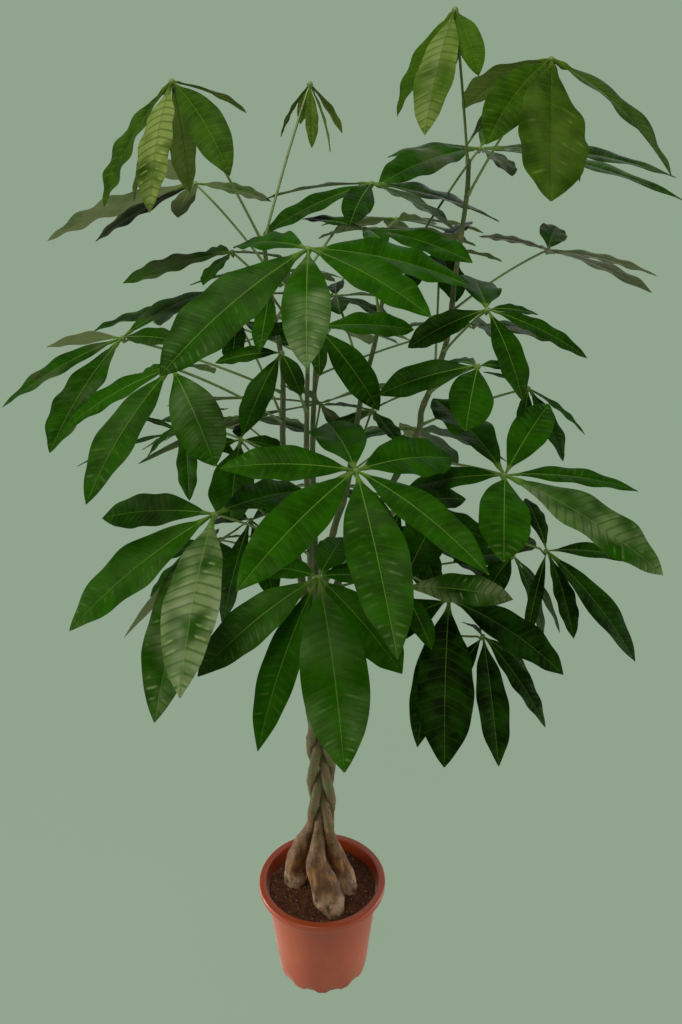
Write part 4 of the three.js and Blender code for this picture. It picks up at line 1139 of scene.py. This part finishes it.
def petiole_line(trunk_name, foot_height, hub, bow_share):
    """The petiole's places and radii, swollen at its foot and at the knob that carries the leaflets."""
    shoot, shoot_radius, direction = shoot_at(trunk_name, foot_height)
    outwards = hub - shoot
    outwards = (outwards - direction * outwards.dot(direction)).normalized()
    reach = (hub - shoot).length
    bow = shoot.lerp(hub, 0.5) + Vector((0, 0, bow_share * reach))
    foot = shoot + outwards * shoot_radius * PETIOLE_FOOT_INSET
    axis = ((hub - bow).normalized() + Vector((0, 0, HUB_UPRIGHT))).normalized()
    line = []
    for step in range(PETIOLE_STEPS):
        share = step / PETIOLE_STEPS
        swell = math.exp(-share * reach / PETIOLE_FOOT_LENGTH) * (PETIOLE_FOOT_RADIUS - PETIOLE_RADIUS)
        place = foot.lerp(bow, share).lerp(bow.lerp(hub, share), share)
        line.append((place, PETIOLE_RADIUS + swell))
    return line + [(hub + axis * rise, radius) for rise, radius in KNOB]


def width_at(share):
    """The blade's half width by share, on a smooth curve through its outline."""
    last = len(BLADE_OUTLINE) - 1
    above = min(last, max(1, bisect.bisect_left([place for place, _ in BLADE_OUTLINE], share)))
    around = [BLADE_OUTLINE[max(0, min(last, above + step))] for step in (-2, -1, 0, 1)]
    (s0, w0), (s1, w1), (s2, w2), (s3, w3) = around
    first_slope = (w2 - w0) / (s2 - s0)
    last_slope = (w3 - w1) / (s3 - s1)
    step = s2 - s1
    t = (share - s1) / step
    start = w1 * (2 * t ** 3 - 3 * t ** 2 + 1) + first_slope * step * (t ** 3 - 2 * t ** 2 + t)
    end = w2 * (3 * t ** 2 - 2 * t ** 3) + last_slope * step * (t ** 3 - t ** 2)
    return max(LEAST_HALF_WIDTH, start + end)


def along_at(bearing, slope):
    heading = Vector((math.cos(bearing), math.sin(bearing), 0))
    return heading * math.cos(slope) + Vector((0, 0, math.sin(slope)))


def midrib_line(hub, face, arch, width, leaflet, rows_a_vein, chance):
    """A leaflet's midrib in metres, with the values that its blade is made from."""
    bearing, pitch, length, *widening = leaflet
    bend = math.radians(chance.uniform(-SIDE_BEND, SIDE_BEND))
    twist = math.radians(chance.uniform(-TWIST, TWIST))
    # The random sheen stays under the least, so it adds only faint painted rib highlights.
    values = {"phase": chance.uniform(0, FULL_TURN), "cycles": chance.uniform(*WAVE_CYCLES),
              "tone": chance.uniform(-LEAFLET_TONE_SPREAD, LEAFLET_TONE_SPREAD),
              "gloss_and_painted_light": LEAST_SHEEN * chance.random() ** 2}
    bearing = math.radians(bearing)
    start = math.radians(pitch - arch * STALK_BEND)
    arch = math.radians(arch * BLADE_BEND)
    spacing = VEIN_SPACING * math.sqrt(length / VEIN_SPACING_LENGTH) * chance.uniform(*VEIN_SPACING_SPREAD)
    veins = max(FEWEST_VEINS, round(length / spacing))
    rows = veins * rows_a_vein
    half = length * (widening[0] if widening else 1) * width / 2
    across = face.cross(along_at(bearing, start - arch * FACED_SHARE))
    place = hub.copy()
    line = []
    for row in range(rows + 1):
        share = row / rows
        along = along_at(bearing + bend * (share - FACED_SHARE), start - arch * share)
        side = (across - along * across.dot(along)).normalized()
        side = Matrix.Rotation(twist * (share - FACED_SHARE), 3, along) @ side
        line.append((place * MM, {**values, "along": along, "side": side, "share": share,
                                  "vein": share * veins, "half": half * width_at(share) * MM}))
        place = place + along * (length / rows)
    return line


def fan(bearing, count, pitch, length):
    leaflets = []
    for index in range(count):
        off = index - (count - 1) / 2
        share = abs(off) / (count / 2)
        leaflets.append((bearing + FAN_ANGLE / count * off, pitch + FAN_RISE * share,
                         length * (1 - FAN_SHORTENING * share)))
    return leaflets


def make_leaf(name, trunk_name, foot_height, hub, traits, leaflets, chance):
    hub = Vector(hub)
    outwards = hub - shoot_at(trunk_name, foot_height)[0]
    outwards.z = 0
    face = outwards.normalized() * OUTWARD_LEAN + Vector((0, -traits.get("light", LIGHT_LEAN), 1))
    face.normalize()
    leaf_tone = traits.get("tone", 0.5) + chance.uniform(-TONE_SPREAD, TONE_SPREAD)
    petiole = petiole_line(trunk_name, foot_height, hub, traits.get("bow", PETIOLE_BOW))
    lines = [[place * MM for place, _ in petiole]]
    blank = dict.fromkeys(("half", "share", "vein", "phase", "cycles", "tone", "withered", "gloss_and_painted_light",
                           "lumpy", "thick"), 0.0)
    blank.update(along=Vector(), side=Vector())
    rows = [{**blank, "thick": radius * MM} for _, radius in petiole]
    young = traits.get("young")
    fine = young or traits.get("fine")
    for number, leaflet in enumerate(leaflets):
        line = midrib_line(hub, face, traits["arch"], traits.get("width", BLADE_WIDTH_SHARE),
                           leaflet, FINE_ROWS_A_VEIN if fine else ROWS_A_VEIN, chance)
        lines.append([place for place, _ in line])
        for _, values in line:
            # A leaflet named in the leaf's gleam trait takes that sheen, for its coat and its painted
            # reflection.
            rows.append({**blank, **values, "tone": leaf_tone + values["tone"],
                         "withered": traits.get("dry", {}).get(number, traits.get("withered", 0.0)),
                         "gloss_and_painted_light": traits.get("gleam", {}).get(number, values["gloss_and_painted_light"])})
    start = line_mesh("leaf", lines)
    for key in blank:
        give(start, key, [row[key] for row in rows])
    settings = {"Columns a side": FINE_LEAF_COLUMNS if fine else LEAF_COLUMNS,
                "Quilting": QUILTING * traits.get("ribbed", 1.0),
                "Blade material": young_blade if young else grown_blade,
                "Petiole material": petiole_skin}
    piece = shaped("leaf_" + name + "_look", start, LEAF_TREE, settings)
    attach(piece, "root")
    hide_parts("leaf_" + name)


grown_blade = blade_material("grown leaf", *GROWN_COLOURS, GROWN_GLOSS)
young_blade = blade_material("young leaf", *YOUNG_COLOURS, YOUNG_GLOSS)
petiole_skin = petiole_material()
leaf_chance = random.Random(LEAF_SEED)
fanned_leaves = [(*leaf[:4], {"arch": leaf[4]}, fan(*leaf[5])) for leaf in SPREAD_LEAVES]
for leaf in LEAVES + fanned_leaves:
    make_leaf(*leaf, leaf_chance)


# The studio is a plain pale floor under soft light: a large lamp above the front, a fill at the right and
# low lamps at both sides that brighten the pot's edges. The camera looks down a little from in front.
FLOOR_HALF_SIZE = 40.0
BACKDROP = (145, 164, 142)
FLOOR_COLOUR = (214, 222, 212)
WHITE = (255, 255, 255)
ROOM_LIGHT = 0.2
LIT_FLOOR_RADIUS = 0.5
PLAIN_FLOOR_RADIUS = 2.6
LIT_FLOOR_SHARE = 0.03
CAMERA_PLACE = (0.028, -0.953, 1.057)
CAMERA_TILT = 71.0
CAMERA_LENS = 28.125
PLANT_MIDDLE = (0.0, 0.0, 0.75)
POT_MIDDLE = (0.0, 0.0, 0.06)

# Each lamp's place, what it points at, its width, its power, its colour and the angle of its beam. The two
# pot lamps have a narrow beam, so they brighten the pot's sides and not the leaves.
LAMPS = {
    "key lamp": ((-0.6, -1.2, 3.2), PLANT_MIDDLE, 1.6, 60.0, (1.0, 0.98, 0.92), 180),
    "fill lamp": ((2.2, -1.0, 1.5), PLANT_MIDDLE, 1.6, 8.0, (0.95, 0.98, 1.0), 180),
    "left lamp": ((-1.9, -0.2, 0.5), PLANT_MIDDLE, 1.2, 12.0, (1.0, 1.0, 1.0), 180),
    "right lamp": ((1.9, 0.1, 0.4), PLANT_MIDDLE, 1.0, 8.0, (0.95, 0.97, 1.0), 180),
    "back lamp": ((0.6, 2.4, 2.4), PLANT_MIDDLE, 1.8, 8.0, (1.0, 1.0, 1.0), 180),
    "left pot lamp": ((-0.60, 0.07, 0.09), POT_MIDDLE, 0.3, 0.33, (1.0, 1.0, 1.0), 50),
    "right pot lamp": ((0.60, 0.12, 0.09), POT_MIDDLE, 0.3, 0.15, (0.95, 0.97, 1.0), 50),
}


def hang_lamp(name, place, target, width, power, colour, beam):
    lamp = bpy.data.lights.new(name, "AREA")
    lamp.size = width
    lamp.energy = power
    lamp.color = colour
    lamp.spread = math.radians(beam)
    holder = add(name, lamp)
    holder.location = place
    holder.rotation_euler = (Vector(target) - Vector(place)).to_track_quat("-Z", "Y").to_euler()
    holder.visible_camera = False


def shown_as(tree, share, real, plain, end):
    """Shows a plain light to the camera alone, by a share, and the real surface or sky to all the rest."""
    seen = put(tree, "ShaderNodeLightPath", output="Is Camera Ray")
    both = put(tree, "ShaderNodeMixShader", [share * seen if share else seen, real, plain])
    both.to(tree.nodes[end].inputs["Surface"])


def make_floor():
    size = FLOOR_HALF_SIZE
    mesh = bpy.data.meshes.new("floor")
    mesh.from_pydata([(-size, -size, 0), (size, -size, 0), (size, size, 0), (-size, size, 0)], [],
                     [(0, 1, 2, 3)])
    material, shader, place = new_material("pale floor", {"Roughness": 0.9, "Specular IOR Level": 0.1})
    mixed(noise(place, 40, 2) * 0.04, FLOOR_COLOUR, BACKDROP).to(shader["Base Color"])
    tree = place.tree
    distance = put(tree, "ShaderNodeVectorMath", [place], "Value", operation="LENGTH")
    plain = distance.rise(LIT_FLOOR_RADIUS, PLAIN_FLOOR_RADIUS) * LIT_FLOOR_SHARE + (1 - LIT_FLOOR_SHARE)
    lit = Field(tree.nodes["Principled BSDF"].outputs[0])
    shown_as(tree, plain, lit, put(tree, "ShaderNodeEmission", [paint(BACKDROP)]), "Material Output")
    mesh.materials.append(material)
    add("floor", mesh)


def make_world():
    world = bpy.data.worlds.new("studio")
    world.use_nodes = True
    sky = world.node_tree
    room = put(sky, "ShaderNodeBackground", [paint(WHITE), ROOM_LIGHT])
    sky.nodes["Background"].inputs["Color"].default_value = paint(BACKDROP)
    shown_as(sky, None, room, Field(sky.nodes["Background"].outputs[0]), "World Output")
    bpy.context.scene.world = world
    bpy.context.scene.view_settings.view_transform = "Standard"


make_floor()
for lamp_name, lamp_values in LAMPS.items():
    hang_lamp(lamp_name, *lamp_values)
make_world()
lens = bpy.data.cameras.new("camera")
lens.lens = CAMERA_LENS
camera = add("camera", lens)
camera.location = CAMERA_PLACE
camera.rotation_euler = (math.radians(CAMERA_TILT), 0, 0)
bpy.context.scene.camera = camera
